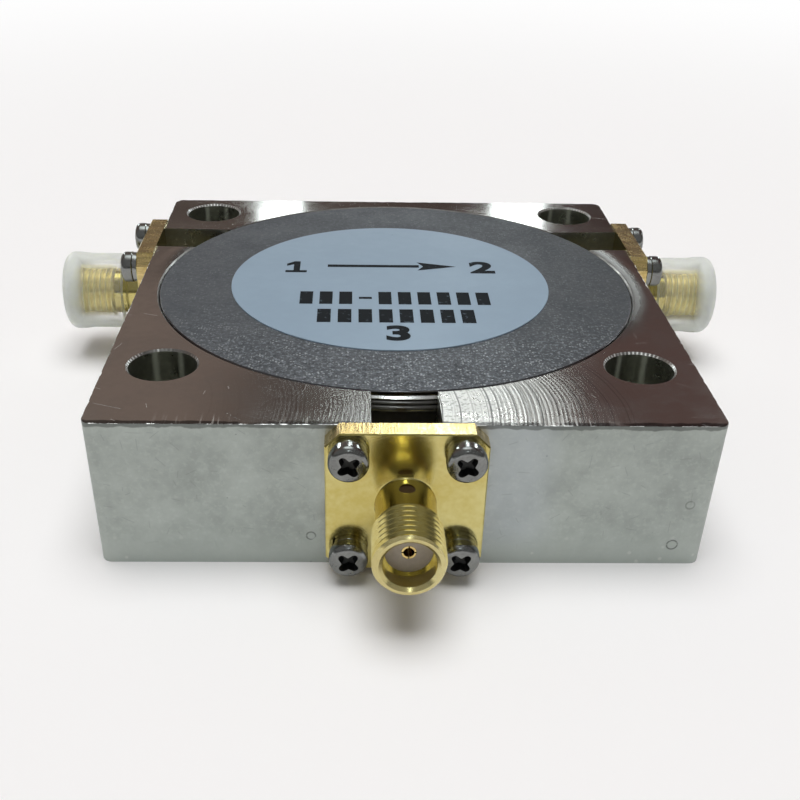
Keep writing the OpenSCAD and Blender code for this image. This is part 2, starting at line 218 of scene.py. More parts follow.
class StudioSettings(bpy.types.PropertyGroup):
    floor_radius: length("Floor radius", "Radius of the floor", 2500.0)
    card_radius: length("Card radius", "Distance of the dark cards from the part", 1000.0)
    card_low: angle("Cards from", "Elevation of the cards' lower edge", 8.0)
    card_high: angle("Cards to", "Elevation of the cards' upper edge", 74.0)
    left_card: colour("Left card", "Colour of the cards behind the part on the left", (0.26, 0.205, 0.18))
    right_card: colour("Right card", "Colour of the cards behind the part on the right",
                       (0.14, 0.09, 0.083))
    front_card: colour("Front card", "Colour of the cards in front of the part", (0.27, 0.27, 0.27))
    floor_colour: colour("Floor", "Colour of the floor", (0.94, 0.94, 0.94))
    ambient: factor("Ambient", "Strength of the light from the whole room", 0.62)


class CirculatorSettings(bpy.types.PropertyGroup):
    block: bpy.props.PointerProperty(type=BlockSettings, name="Block", description="The milled block")
    cover: bpy.props.PointerProperty(type=CoverSettings, name="Cover", description="The screwed-in cover")
    label: bpy.props.PointerProperty(type=LabelSettings, name="Label", description="The round label")
    jack: bpy.props.PointerProperty(type=JackSettings, name="Jacks", description="The coaxial jacks")
    screw: bpy.props.PointerProperty(type=ScrewSettings, name="Screws", description="The flange screws")
    cap: bpy.props.PointerProperty(type=CapSettings, name="Caps", description="The dust caps")
    studio: bpy.props.PointerProperty(type=StudioSettings, name="Studio", description="Floor and light")


# Node trees

class Value:
    """A node's output, open to plain arithmetic; each step of it adds one maths node."""

    def __init__(self, w, socket):
        self.w = w
        self.socket = socket

    def __add__(self, other):
        return self.w.maths("ADD", self, other)

    def __radd__(self, other):
        return self.w.maths("ADD", other, self)

    def __sub__(self, other):
        return self.w.maths("SUBTRACT", self, other)

    def __rsub__(self, other):
        return self.w.maths("SUBTRACT", other, self)

    def __mul__(self, other):
        return self.w.maths("MULTIPLY", self, other)

    def __truediv__(self, other):
        return self.w.maths("DIVIDE", self, other)

    def __pow__(self, other):
        return self.w.maths("POWER", self, other)

    def __lt__(self, other):
        return self.w.maths("LESS_THAN", self, other)

    def __abs__(self):
        return self.w.maths("ABSOLUTE", self)

    def clamped(self):
        """The same value, held between nought and one."""
        self.socket.node.use_clamp = True
        return self


class Wiring:
    """Adds nodes to one tree and joins their sockets."""

    def __init__(self, tree):
        self.tree = tree

    def feed(self, socket, value):
        """Joins an output to a socket, or sets the socket to a plain value or colour."""
        if isinstance(value, Value):
            value = value.socket
        if isinstance(value, bpy.types.NodeSocket):
            self.tree.links.new(value, socket)
        elif socket.type == "RGBA":
            socket.default_value = (*value, 1.0)
        else:
            socket.default_value = value

    def fill(self, node, **inputs):
        """Feeds a node's inputs by their names, with an underscore for each space."""
        for key, value in inputs.items():
            self.feed(node.inputs[key.replace("_", " ")], value)
        return node

    def node(self, kind, inputs=None, **settings):
        made = self.tree.nodes.new(kind)
        for key, value in settings.items():
            setattr(made, key, value)
        for key, value in (inputs or {}).items():
            self.feed(made.inputs[key], value)
        return made

    def get(self, kind, inputs=None, output=0, **settings):
        """Adds a node and gives one of its outputs."""
        return Value(self, self.node(kind, inputs, **settings).outputs[output])

    def named(self, node):
        """A node's outputs by their names."""
        return {socket.name: Value(self, socket) for socket in node.outputs}

    def maths(self, operation, *values):
        return self.get("ShaderNodeMath", dict(enumerate(values)), operation=operation)

    def vector(self, operation, *values):
        output = "Value" if operation in ("LENGTH", "DISTANCE") else "Vector"
        return self.get("ShaderNodeVectorMath", dict(enumerate(values)), output, operation=operation)

    def split(self, vector):
        return [Value(self, part) for part in self.node("ShaderNodeSeparateXYZ", {0: vector}).outputs]

    def join(self, x, y, z):
        return self.get("ShaderNodeCombineXYZ", {0: x, 1: y, 2: z})

    def smooth(self, value, low, high, first=0.0, last=1.0):
        """Goes smoothly from first to last as the value goes from low to high."""
        ends = {"From Min": low, "From Max": high, "To Min": first, "To Max": last}
        return self.get("ShaderNodeMapRange", {"Value": value, **ends}, interpolation_type="SMOOTHSTEP")

    def noise(self, vector, scale, detail=2.0, roughness=0.5):
        inputs = {"Vector": vector, "Scale": scale, "Detail": detail, "Roughness": roughness}
        return self.get("ShaderNodeTexNoise", inputs, "Fac")

    def mix(self, amount, first, second):
        return self.get("ShaderNodeMix", {"Factor": amount, "A": first, "B": second}, "Result",
                        data_type="RGBA")

    def stretched(self, vector, x, y, z):
        return self.get("ShaderNodeMapping", {"Vector": vector, "Scale": (x, y, z)})

    def place(self):
        """Coordinates in the part's frame."""
        return self.get("ShaderNodeTexCoord", output="Object")

    def turned(self):
        """Coordinates in a turned piece's own frame, whose Z is its axis."""
        return self.get("ShaderNodeAttribute", output="Vector", attribute_name="turned")

    def effect(self, name, **inputs):
        """Places one of the shared shader groups and gives its outputs by name."""
        made = self.node("ShaderNodeGroup", node_tree=bpy.data.node_groups[name])
        return self.named(self.fill(made, **inputs))

    def clouds(self, vector, light, dark, scale, roughness, spread):
        """Mottled colour and roughness; the dark tone is a colour, or a share of the light one."""
        if isinstance(dark, float):
            dark = dimmed(light, dark)
        return self.effect("Clouds", Vector=vector, Light=light, Dark=dark, Scale=scale,
                           Roughness=roughness, Spread=spread)


def new_group(name, kind, inputs, outputs):
    """A node group, with its wiring and its two ends; an input is given by its kind of socket or,
    for a number, by its default."""
    tree = bpy.data.node_groups.new(name, kind)
    for label, given in inputs.items():
        number = not isinstance(given, str)
        kind_of_number = "NodeSocketInt" if isinstance(given, int) else FLOAT
        socket_type = kind_of_number if number else given
        item = tree.interface.new_socket(name=label, in_out="INPUT", socket_type=socket_type)
        if number:
            item.default_value = given
    for label, socket_type in outputs.items():
        tree.interface.new_socket(name=label, in_out="OUTPUT", socket_type=socket_type)
    w = Wiring(tree)
    start = w.named(w.node("NodeGroupInput"))
    end = w.node("NodeGroupOutput").inputs
    return w, start, end


FLOAT, VECTOR, COLOUR = "NodeSocketFloat", "NodeSocketVector", "NodeSocketColor"
GEOMETRY, MATERIAL, OBJECT = "NodeSocketGeometry", "NodeSocketMaterial", "NodeSocketObject"


def make_clouds_group():
    """Slow variation of tone and roughness over a finish."""
    w, start, end = new_group("Clouds", "ShaderNodeTree",
                              {"Vector": VECTOR, "Light": COLOUR, "Dark": COLOUR, "Scale": 200.0,
                               "Roughness": 0.4, "Spread": 0.1}, {"Color": COLOUR, "Roughness": FLOAT})
    broad = w.noise(start["Vector"], start["Scale"], 3.0)
    fine = w.noise(start["Vector"], start["Scale"] * 7.0, 3.0)
    blend = broad * 0.65 + fine * 0.35
    blend = w.smooth(blend, 0.32, 0.68)
    w.feed(end["Color"], w.mix(blend, start["Dark"], start["Light"]))
    change = (0.5 - blend) * start["Spread"]
    w.feed(end["Roughness"], start["Roughness"] + change)


def make_cutter_group():
    """Height of the arcs that a wide cutter leaves on a milled face."""
    w, start, end = new_group("Cutter Arcs", "ShaderNodeTree",
                              {"Vector": VECTOR, "Radius": 0.017, "Feed": 0.0003},
                              {"Height": FLOAT, "Line": FLOAT})
    x, y, _ = w.split(start["Vector"])
    wander = w.noise(start["Vector"], 90.0, 2.0) * (start["Feed"] * 2.2)
    drop = start["Radius"] ** 2.0 - y ** 2.0
    bow = w.maths("SQRT", w.maths("MAXIMUM", drop, 0.0))
    phase = x - bow + wander
    turn = phase / start["Feed"]
    scallop = w.maths("PINGPONG", turn, 0.5)
    uneven = w.get("ShaderNodeTexNoise", {"W": turn * 1.7, "Scale": 1.0, "Detail": 3.0}, "Fac",
                   noise_dimensions="1D")
    w.feed(end["Height"], scallop + uneven * 0.7)
    w.feed(end["Line"], w.smooth(uneven, 0.5, 0.75))


def make_turned_group():
    """Height of the fine rings that a lathe leaves; the vector's Z is the turning axis."""
    w, start, end = new_group("Turned Rings", "ShaderNodeTree", {"Vector": VECTOR, "Density": 9000.0},
                              {"Height": FLOAT})
    x, y, z = w.split(start["Vector"])
    radius = w.vector("LENGTH", w.join(x, y, 0.0))
    both = radius * start["Density"] + z * start["Density"]
    rings = w.get("ShaderNodeTexNoise", {"W": both, "Scale": 1.0, "Detail": 2.0}, "Fac",
                  noise_dimensions="1D")
    w.feed(end["Height"], rings)


def make_specks_group():
    """Small scattered spots, each with its own size."""
    w, start, end = new_group("Specks", "ShaderNodeTree",
                              {"Vector": VECTOR, "Scale": 1500.0, "Size": 0.3, "Share": 0.3},
                              {"Mask": FLOAT})
    cells = w.node("ShaderNodeTexVoronoi", {"Vector": start["Vector"], "Scale": start["Scale"]})
    lottery = w.split(cells.outputs["Color"])[0]
    chosen = lottery < start["Share"]
    spot = w.smooth(cells.outputs["Distance"], start["Size"], start["Size"] * 0.4)
    w.feed(end["Mask"], chosen * spot)


def make_scratches_group():
    """Short scratches on a level face, one in each chosen cell, each turned its own way."""
    w, start, end = new_group("Scratches", "ShaderNodeTree",
                              {"Vector": VECTOR, "Scale": 900.0, "Length": 0.4, "Width": 0.06,
                               "Share": 0.3}, {"Mask": FLOAT})
    cells = w.node("ShaderNodeTexVoronoi", {"Vector": start["Vector"], "Scale": start["Scale"]},
                   voronoi_dimensions="2D")
    lottery, heading, reach = w.split(cells.outputs["Color"])
    away = w.vector("SUBTRACT", start["Vector"], cells.outputs["Position"])
    turned = w.get("ShaderNodeVectorRotate", {"Vector": away, "Angle": heading * math.tau},
                   rotation_type="Z_AXIS")
    x, y, _ = w.split(turned)
    along = abs(x) * start["Scale"]
    across = abs(y) * start["Scale"]
    half = start["Length"] * (reach + 0.2)
    line = w.smooth(across, start["Width"], start["Width"] * 0.3)
    line = line * w.smooth(along, half, half * 0.7)
    w.feed(end["Mask"], line * (lottery < start["Share"]))


def make_hole_group():
    """Coordinates about the nearest of the four mounting holes, and a mask of the area round it."""
    w, start, end = new_group("Hole Frame", "ShaderNodeTree", {"Vector": VECTOR},
                              {"Across": FLOAT, "Turn": FLOAT, "Corner": FLOAT})
    x, y, _ = w.split(start["Vector"])
    across = abs(x) - HOLE_X
    back = abs(y) - HOLE_Y
    away = w.vector("LENGTH", w.join(across, back, 0.0))
    w.feed(end["Across"], across / HOLE_RADIUS)
    w.feed(end["Turn"], w.maths("ARCTAN2", back, across))
    w.feed(end["Corner"], away < HOLE_RADIUS * 1.25)


def make_spot_ring_group():
    """The outline of one dried drop on a face: distance from a point, measured along the face."""
    w, start, end = new_group("Dried Drop", "ShaderNodeTree",
                              {"Vector": VECTOR, "Centre": VECTOR, "Radius": 0.0006, "Line": 0.0001},
                              {"Mask": FLOAT})
    apart = w.vector("DISTANCE", start["Vector"], start["Centre"])
    offset = abs(apart - start["Radius"])
    w.feed(end["Mask"], w.smooth(offset, start["Line"], 0.0))


def new_material(name):
    """An empty material, its wiring and its shader."""
    material = bpy.data.materials.new(name)
    material.use_nodes = True
    material.node_tree.nodes.clear()
    w = Wiring(material.node_tree)
    shader = w.node("ShaderNodeBsdfPrincipled")
    output = w.node("ShaderNodeOutputMaterial")
    material.node_tree.links.new(shader.outputs[0], output.inputs[0])
    return material, w, shader


def bump(w, shader, height, distance):
    """Lets a height move the shader's normal."""
    made = w.node("ShaderNodeBump", {"Height": height, "Distance": distance})
    w.feed(shader.inputs["Normal"], made.outputs[0])


def dimmed(value, share):
    return tuple(channel * share for channel in value)


# Finishes

TOP_RELIEF = 0.02 * MM
SLOT_SIDE = 3.2 * MM


def arc_zones(w, x, y):
    """Where the cutter's arcs show: right and left of the front slot, and how far back."""
    right = w.smooth(x, 2 * MM, SLOT_SIDE) * w.smooth(x, 23 * MM, 10 * MM)
    left = w.smooth(x, -21 * MM, -9 * MM) * w.smooth(x, -2 * MM, -SLOT_SIDE)
    return right, left, w.smooth(y, FRONT_Y + 16 * MM, FRONT_Y + 8 * MM)


def bore_roll(w, settings, x, y):
    """How far the worn edge of the bore falls away, on the two sides where it does."""
    from_axis = w.vector("DISTANCE", w.join(x, y, 0.0), (0.0, BORE_Y, 0.0))
    inner = COVER_RADIUS + 0.35 * MM
    slope = (1.0 - (from_axis - inner) / settings.roll_width).clamped()
    left_side = w.smooth(x, -15 * MM, -19 * MM, 0.0, 0.6) * w.smooth(y, -1 * MM, 9 * MM)
    right_side = w.smooth(x, 15 * MM, 19 * MM) * w.smooth(y, -20 * MM, -2 * MM)
    worn_side = (left_side + right_side) * w.smooth(y, 15 * MM, 9 * MM)
    return slope ** 2.0 * worn_side


def top_height(w, place, arcs, beside, strength):
    """Height of the milled top: grit and arcs, less nicks and scratches."""
    nicks = w.effect("Specks", Vector=place, Scale=600.0, Size=0.16, Share=0.04)
    scratches = w.effect("Scratches", Vector=place, Scale=260.0, Length=0.45, Width=0.02, Share=0.16)
    grit = w.noise(place, 4200.0, 3.0, 0.7) * (beside * 1.2)
    height = grit + arcs["Height"] * (1.0 - beside * 0.3) * strength
    return height - nicks["Mask"] * 0.5 - scratches["Mask"] * 0.5


def light_marks(w, place, x, y):
    """Pale hairlines all over, and short ticks along the front edge."""
    hair = w.effect("Scratches", Vector=place, Scale=420.0, Length=0.4, Width=0.022, Share=0.3)
    near_front = w.smooth(y, FRONT_Y + 2.6 * MM, FRONT_Y + 0.4 * MM)
    edge_zone = near_front * w.smooth(abs(x), 25 * MM, 18 * MM)
    ticks = w.smooth(w.noise(w.stretched(place, 1.0, 0.05, 1.0), 2600.0, 2.0), 0.55, 0.66) * edge_zone
    marks = w.maths("MAXIMUM", hair["Mask"] * 0.5, ticks * 0.6)
    return marks * w.smooth(w.noise(place, 120.0), 0.4, 0.55)


def milled_nickel(settings):
    """Nickel over milled steel: mirror-like, with arcs of the cutter in the front middle; its colour holds
    painted shade away from the slot, left of it and round the bore.
    """
    material, w, shader = new_material("milled_nickel")
    top = settings.top_colour
    place = w.place()
    x, y, _ = w.split(place)
    clouds = w.clouds(place, top, 0.86, scale=160.0, roughness=0.13, spread=0.08)
    moved = w.vector("SUBTRACT", place, (0.0, FRONT_Y + 3 * MM, 0.0))
    arcs = w.effect("Cutter Arcs", Vector=moved, Radius=settings.arc_radius, Feed=settings.arc_feed)
    right, left, front = arc_zones(w, x, y)
    milled = (right + left * 0.62) * front
    patch = (right + left * 0.5) * front
    beside = w.smooth(abs(x), 13 * MM, 5 * MM) * patch
    roll = bore_roll(w, settings, x, y)
    height = top_height(w, place, arcs, beside, milled * 0.62 + 0.015)
    height = height - roll * (0.1 * settings.roll_width / TOP_RELIEF)

    torn = w.smooth(w.noise(place, 2600.0, 3.0), 0.5, 0.62) * w.smooth(x, 16 * MM, 4 * MM)
    # Painted shade: the arc patch and its dark lines are made darker away from the slot, where the lamps'
    # highlight on the arcs fades.
    far = w.smooth(x + (y - FRONT_Y) * 0.6, 11 * MM, 23 * MM)
    lines = arcs["Line"] * (0.7 + far * 0.3)
    dark = w.maths("MAXIMUM", torn * 0.28, lines)
    dark = (dark * (milled + right * front)).clamped()
    shade = w.mix(dark, clouds["Color"], dimmed(top, 0.18))
    shade = w.mix(far * (patch * 0.8), shade, dimmed(top, 0.3))
    # Painted shade: the milled top left of the slot is made darker, for the darker reflection that it
    # shows.
    shade = w.mix(left * front * 0.85, shade, dimmed(top, 0.29))
    # Painted shade: the worn slope round the bore is made darker, to dim the highlight that its slope
    # catches.
    shade = w.mix((roll * 2.4).clamped() * 0.95, shade, dimmed(top, 0.22))
    ragged = w.noise(place, 700.0, 3.0) * (0.7 * MM)
    chewed = w.smooth(y - FRONT_Y - ragged, 0.3 * MM, 0.12 * MM)
    chewed = chewed * w.smooth(w.noise(place, 300.0), 0.34, 0.46)
    shade = w.mix(chewed * 0.85, shade, dimmed(top, 0.1))
    marks = light_marks(w, place, x, y)
    w.fill(shader, Base_Color=w.mix(marks, shade, (0.6, 0.61, 0.58)), Metallic=1.0 - marks * 0.8,
           Roughness=clouds["Roughness"] + patch * 0.15 + roll * 0.3)
    bump(w, shader, height, TOP_RELIEF)
    return material


# Dried drops on the front face: place across and up, and radius, in millimetres; then strength
DRIED_DROPS = ((26.4, 6.7, 0.4, 0.5), (25.5, 2.2, 0.5, 0.9), (-8.6, 3.1, 0.42, 0.8))


def satin_nickel(settings):
    """Nickel over the blasted sides: pale, soft, mottled, with dust low down and dried drops, and painted
    light that makes them paler towards the bottom.
    """
    material, w, shader = new_material("satin_nickel")
    side = settings.side_colour
    place = w.place()
    x, y, z = w.split(place)
    clouds = w.clouds(place, side, 0.84, scale=150.0, roughness=0.42, spread=0.14)
    low = w.smooth(z, 4.5 * MM, 0.5 * MM)
    dust = w.effect("Specks", Vector=place, Scale=1300.0, Size=0.34, Share=0.12)
    flecks = w.effect("Specks", Vector=place, Scale=800.0, Size=0.1, Share=0.1)
    beside = w.smooth(x, 15 * MM, 11 * MM) * w.smooth(x, 1 * MM, 3 * MM)
    bluish = beside * w.smooth(w.noise(place, 60.0), 0.3, 0.48)
    shade = w.mix(bluish * 0.55, clouds["Color"], (0.42, 0.455, 0.48))
    rubbed = w.smooth(w.noise(place, 2200.0, 4.0, 0.7), 0.5, 0.66, 0.0, 0.22)
    shade = w.mix(rubbed, shade, dimmed(side, 1.3))
    along_wall = w.join(x + y, z, 0.0)
    strokes = w.effect("Scratches", Vector=along_wall, Scale=640.0, Length=0.42, Width=0.045, Share=0.45)
    shade = w.mix(strokes["Mask"] * 0.28, shade, dimmed(side, 0.55))
    # Painted light: the sides are made paler towards the bottom, for the shadowed floor that they reflect.
    shade = w.mix(low * 0.8, shade, dimmed(side, 1.12))
    shade = w.mix(dust["Mask"] * (low * 0.55), shade, (0.6, 0.62, 0.58))
    shade = w.mix(flecks["Mask"] * 0.45, shade, dimmed(side, 0.35))
    for drop_x, drop_z, radius, amount in DRIED_DROPS:
        ring = w.effect("Dried Drop", Vector=place, Centre=(drop_x * MM, FRONT_Y, drop_z * MM),
                        Radius=radius * MM, Line=0.13 * MM)
        broken = w.smooth(w.noise(place, 1400.0), 0.35, 0.5)
        faint = ring["Mask"] * broken * amount
        shade = w.mix(faint, shade, dimmed(side, 0.3))
    ragged = w.noise(place, 700.0, 3.0) * (0.6 * MM)
    chewed = w.smooth(z + ragged, TOP_Z - 0.16 * MM, TOP_Z - 0.02 * MM, 0.0, 0.7)
    shade = w.mix(chewed, shade, dimmed(side, 0.25))
    w.fill(shader, Base_Color=shade, Roughness=clouds["Roughness"], Metallic=1.0)
    grain = w.noise(place, 2600.0, 3.0) + w.noise(place, 420.0) * 1.5
    bump(w, shader, grain, 0.006 * MM)
    return material


def bored_nickel(settings):
    """Nickel inside holes, slots and the bore, with the lines of the drill and mill, and painted highlight
    stripes in the mounting holes.
    """
    material, w, shader = new_material("bored_nickel")
    place = w.place()
    clouds = w.clouds(place, settings.bore_colour, 0.75, scale=260.0, roughness=0.3, spread=0.1)
    stretched = w.stretched(place, 1.0, 1.0, 14.0)
    hole = w.effect("Hole Frame", Vector=place)
    # Painted highlights: two pale upright stripes down the walls of each mounting hole, standing in for
    # reflections.
    aside = abs(abs(hole["Across"]) - 0.38)
    painted_highlight_stripes = w.smooth(aside, 0.13, 0.02, 0.0, 0.6) * hole["Corner"]
    w.fill(shader, Base_Color=w.mix(painted_highlight_stripes, clouds["Color"], (0.7, 0.74, 0.6)),
           Roughness=clouds["Roughness"], Metallic=1.0 - painted_highlight_stripes * 0.7)
    bump(w, shader, w.noise(stretched, 700.0, 2.0), 0.006 * MM)
    return material


def edge_nickel(settings):
    """Nickel on broken edges and burrs: torn, with painted shade in its pits and painted glints on its
    crests.
    """
    material, w, shader = new_material("edge_nickel")
    place = w.place()
    # Painted shade and painted glints: the pits are painted dark and the crests near white and less
    # metallic, for glints along the edge.
    crests = w.smooth(w.noise(place, 1100.0, 3.0), 0.5, 0.58)
    w.fill(shader, Base_Color=w.mix(crests, dimmed(settings.top_colour, 0.14), (0.95, 0.95, 0.93)),
           Roughness=0.32, Metallic=1.0 - crests * 0.5)
    bump(w, shader, w.noise(place, 3000.0, 3.0), 0.03 * MM)
    return material


def chamfer_nickel(settings):
    """Nickel on the chamfers of the bore and the holes: smooth, with the chatter of the tool."""
    material, w, shader = new_material("chamfer_nickel")
    place = w.place()
    clouds = w.clouds(place, dimmed(settings.top_colour, 0.62), dimmed(settings.top_colour, 0.36),
                      scale=700.0, roughness=0.38, spread=0.1)
    hole = w.effect("Hole Frame", Vector=place)
    chatter = w.smooth(w.maths("SINE", hole["Turn"] * 52.0), -0.4, 0.7)
    torn = chatter * w.smooth(w.noise(place, 500.0, 2.0), 0.38, 0.58)
    torn = torn * hole["Corner"]
    w.fill(shader, Base_Color=w.mix(torn, clouds["Color"], (0.8, 0.81, 0.78)),
           Roughness=clouds["Roughness"], Metallic=1.0 - torn * 0.35)
    bump(w, shader, w.noise(place, 1600.0, 2.0), 0.012 * MM)
    return material


def dark_plate(settings):
    """The cover's dark plating over a blasted steel disc, with bright grains and scuffs that are wear and
    also painted glints.
    """
    material, w, shader = new_material("dark_plate")
    place = w.place()
    x, y, _ = w.split(place)
    clouds = w.clouds(place, settings.disc_colour, 0.8, scale=230.0, roughness=0.46, spread=0.14)
    # The bright grains and scuffs are wear, and they also serve as painted glints of the blasted surface.
    grains = w.effect("Specks", Vector=place, Scale=3600.0, Size=0.5, Share=0.34)
    scuffs = w.effect("Scratches", Vector=place, Scale=1500.0, Length=0.34, Width=0.06, Share=0.14)
    worn = w.maths("MAXIMUM", grains["Mask"] * 0.75, scuffs["Mask"] * 0.8)
    clumps = w.smooth(w.noise(place, 700.0, 3.0), 0.4, 0.6, 0.25, 1.0)
    near = w.smooth(y, -8 * MM, -24 * MM, 0.22, 1.0)
    worn = worn * clumps * near
    toned = w.mix(w.smooth(x, -6 * MM, 24 * MM, 0.0, 0.9), clouds["Color"],
                  dimmed(settings.disc_colour, 0.6))
    mottle = w.smooth(w.noise(place, 2400.0, 4.0, 0.75), 0.5, 0.64) * near
    toned = w.mix(mottle, toned, dimmed(settings.disc_colour, 2.7))
    pits = w.smooth(w.noise(place, 1800.0, 4.0, 0.75), 0.5, 0.36) * near
    toned = w.mix(pits * 0.9, toned, dimmed(settings.disc_colour, 0.35))
    w.fill(shader, Base_Color=w.mix(worn * 0.8, toned, settings.speckle),
           Roughness=clouds["Roughness"] - worn * 0.15, Metallic=0.3, Specular_IOR_Level=0.12)
    grain = w.noise(place, 5200.0, 2.0) + worn * 0.8
    bump(w, shader, grain, 0.012 * MM)
    return material


def rim_steel():
    """The cover's threaded rim: bright steel where the thread starts, with painted shade on the land above
    it and below it.
    """
    material, w, shader = new_material("rim_steel")
    place = w.place()
    clouds = w.clouds(place, (0.85, 0.84, 0.82), (0.65, 0.63, 0.61), scale=500.0, roughness=0.2,
                      spread=0.1)
    z = w.split(place)[2]
    # Painted shade: darker deep down the rim and on the plain land at its top.
    deep = w.smooth(z, TOP_Z - 0.84 * MM, TOP_Z - 0.98 * MM, 0.0, 0.88)
    land_painted_shade = w.smooth(z, TOP_Z - 0.48 * MM, TOP_Z - 0.38 * MM, 0.0, 0.9)
    shade = w.mix(deep, clouds["Color"], (0.05, 0.045, 0.04))
    w.fill(shader, Base_Color=w.mix(land_painted_shade, shade, (0.09, 0.09, 0.1)), Roughness=clouds["Roughness"],
           Metallic=1.0)
    return material


def label_film(settings):
    """Pale blue-grey film with a faint sheen and fine fibres."""
    material, w, shader = new_material("label_film")
    place = w.place()
    clouds = w.clouds(place, settings.film_colour, 0.95, scale=90.0, roughness=0.45, spread=0.06)
    dust = w.effect("Specks", Vector=place, Scale=420.0, Size=0.07, Share=0.1)
    w.fill(shader,
           Base_Color=w.mix(dust["Mask"] * 0.5, clouds["Color"], dimmed(settings.film_colour, 0.5)),
           Roughness=clouds["Roughness"], Specular_IOR_Level=0.2)
    bump(w, shader, w.noise(place, 2400.0, 3.0), 0.003 * MM)
    return material


def label_ink(settings):
    """Dark ink, a little thin in places."""
    material, w, shader = new_material("label_ink")
    place = w.place()
    thin = w.smooth(w.noise(place, 1500.0, 3.0), 0.6, 0.78, 0.0, 0.3)
    w.fill(shader, Base_Color=w.mix(thin, settings.ink_colour, settings.film_colour), Roughness=0.6,
           Specular_IOR_Level=0.05)
    return material


def gold_plate(settings):
    """Gold plate over turned brass: fine rings about the jack's axis, with a painted reflection that makes
    the lip paler and less metallic, and a rougher lip.
    """
    material, w, shader = new_material("gold_plate")
    turned = w.turned()
    clouds = w.clouds(turned, settings.gold, settings.gold_shade, scale=240.0, roughness=0.16,
                      spread=0.06)
    rings = w.effect("Turned Rings", Vector=turned, Density=14000.0)
    # Painted reflection: the lip is painted paler and less metallic, for the pale floor that it shows.
    lip = w.smooth(w.split(turned)[2], JACK_LENGTH - 0.5 * MM, JACK_LENGTH - 0.25 * MM)
    worn = lip * 0.25
    w.fill(shader, Base_Color=w.mix(worn, clouds["Color"], (0.8, 0.72, 0.46)),
           Roughness=clouds["Roughness"] + lip * 0.06, Metallic=1.0 - worn)
    bump(w, shader, rings["Height"], 0.002 * MM)
    return material


def gold_milled(settings):
    """Gold plate on the flange's sides, over the lines of a mill."""
    material, w, shader = new_material("gold_milled")
    turned = w.turned()
    clouds = w.clouds(turned, (0.72, 0.56, 0.27), (0.63, 0.46, 0.18), scale=500.0,
                      roughness=0.26, spread=0.1)
    stretched = w.stretched(turned, 1.0, 1.0, 0.12)
    lines = w.noise(stretched, 3200.0, 2.0)
    streaks = w.smooth(lines, 0.42, 0.58, 0.34, 0.0)
    w.fill(shader, Base_Color=w.mix(streaks, clouds["Color"], dimmed(settings.gold_shade, 0.45)),
           Roughness=clouds["Roughness"], Metallic=1.0)
    bump(w, shader, lines, 0.016 * MM)
    return material


def gold_painted_bright_in_cap():
    """Gold plate seen through a cloudy cap: painted brighter and more strongly coloured than the plain
    gold, without sharp reflections, with painted shade in the thread's valleys.
    """
    material, w, shader = new_material("gold_painted_bright_in_cap")
    turned = w.turned()
    clouds = w.clouds(turned, (1.0, 0.95, 0.6), (0.97, 0.88, 0.47), scale=240.0, roughness=0.24,
                      spread=0.06)
    x, y, _ = w.split(turned)
    radius = w.vector("LENGTH", w.join(x, y, 0.0))
    # Painted shade: the thread's valleys are painted darker.
    valley_painted_shade = w.smooth(radius, 3.08 * MM, 2.8 * MM, 0.0, 0.45)
    w.fill(shader, Base_Color=w.mix(valley_painted_shade, clouds["Color"], (0.66, 0.54, 0.25)),
           Roughness=clouds["Roughness"], Metallic=0.75)
    return material


def screw_steel(settings, name, tone, roughness):
    """Plated steel of the screws and washers, with fine turning marks."""
    material, w, shader = new_material(name)
    turned = w.turned()
    clouds = w.clouds(turned, dimmed(settings.steel, tone), dimmed(settings.steel, tone * 0.75),
                      scale=700.0, roughness=roughness, spread=0.12)
    rings = w.effect("Turned Rings", Vector=turned, Density=12000.0)
    w.fill(shader, Base_Color=clouds["Color"], Roughness=clouds["Roughness"], Metallic=1.0)
    bump(w, shader, rings["Height"], 0.004 * MM)
    return material


def cap_lining(settings):
    """The inside of the cloudy cap, which only adds a little to its haze."""
    material, w, shader = new_material("cap_lining")
    place = w.place()
    w.fill(shader,
           Base_Color=w.mix(w.noise(place, 900.0), settings.plastic, dimmed(settings.plastic, 0.9)),
           Roughness=0.6, Specular_IOR_Level=0.0, Alpha=settings.haze * 0.6)
    return material


def cap_plastic(settings):
    """Cloudy thin plastic: see-through face on, milky at its thick end and at a glancing angle."""
    material, w, shader = new_material("cap_plastic")
    place = w.place()
    clouds = w.clouds(place, settings.plastic, 0.93, scale=300.0, roughness=0.38, spread=0.08)
    facing = w.get("ShaderNodeLayerWeight", {"Blend": 0.35}, "Facing")
    thick = w.smooth(abs(w.split(place)[0]), CAP_END - 3.2 * MM, CAP_END - 1.5 * MM, 0.0, 0.74)
    glancing = w.smooth(facing, 0.08, 0.44, settings.haze, 0.78)
    w.fill(shader, Base_Color=clouds["Color"], Roughness=clouds["Roughness"],
           Alpha=w.maths("MAXIMUM", thick, glancing), Specular_IOR_Level=0.25, Subsurface_Weight=0.6,
           Subsurface_Radius=(1.0, 1.0, 0.8), Subsurface_Scale=1.5 * MM)
    bump(w, shader, w.noise(place, 900.0), 0.006 * MM)
    return material


def plain_finish(name, light, dark, roughness, metallic, gloss=0.5, depth=0.004):
    """A mottled, lightly grained finish for pieces that are seen little or not at all."""
    material, w, shader = new_material(name)
    place = w.place()
    clouds = w.clouds(place, light, dark, scale=400.0, roughness=roughness, spread=0.1)
    w.fill(shader, Base_Color=clouds["Color"], Roughness=clouds["Roughness"], Metallic=metallic,
           Specular_IOR_Level=gloss)
    bump(w, shader, w.noise(place, 1800.0, 2.0), depth * MM)
    return material


# Mesh tools

def ring(bm, radius, height, count):
    """A loop of vertices round Z."""
    turn = math.tau / count
    return [bm.verts.new((radius * math.cos(turn * k), radius * math.sin(turn * k), height))
            for k in range(count)]


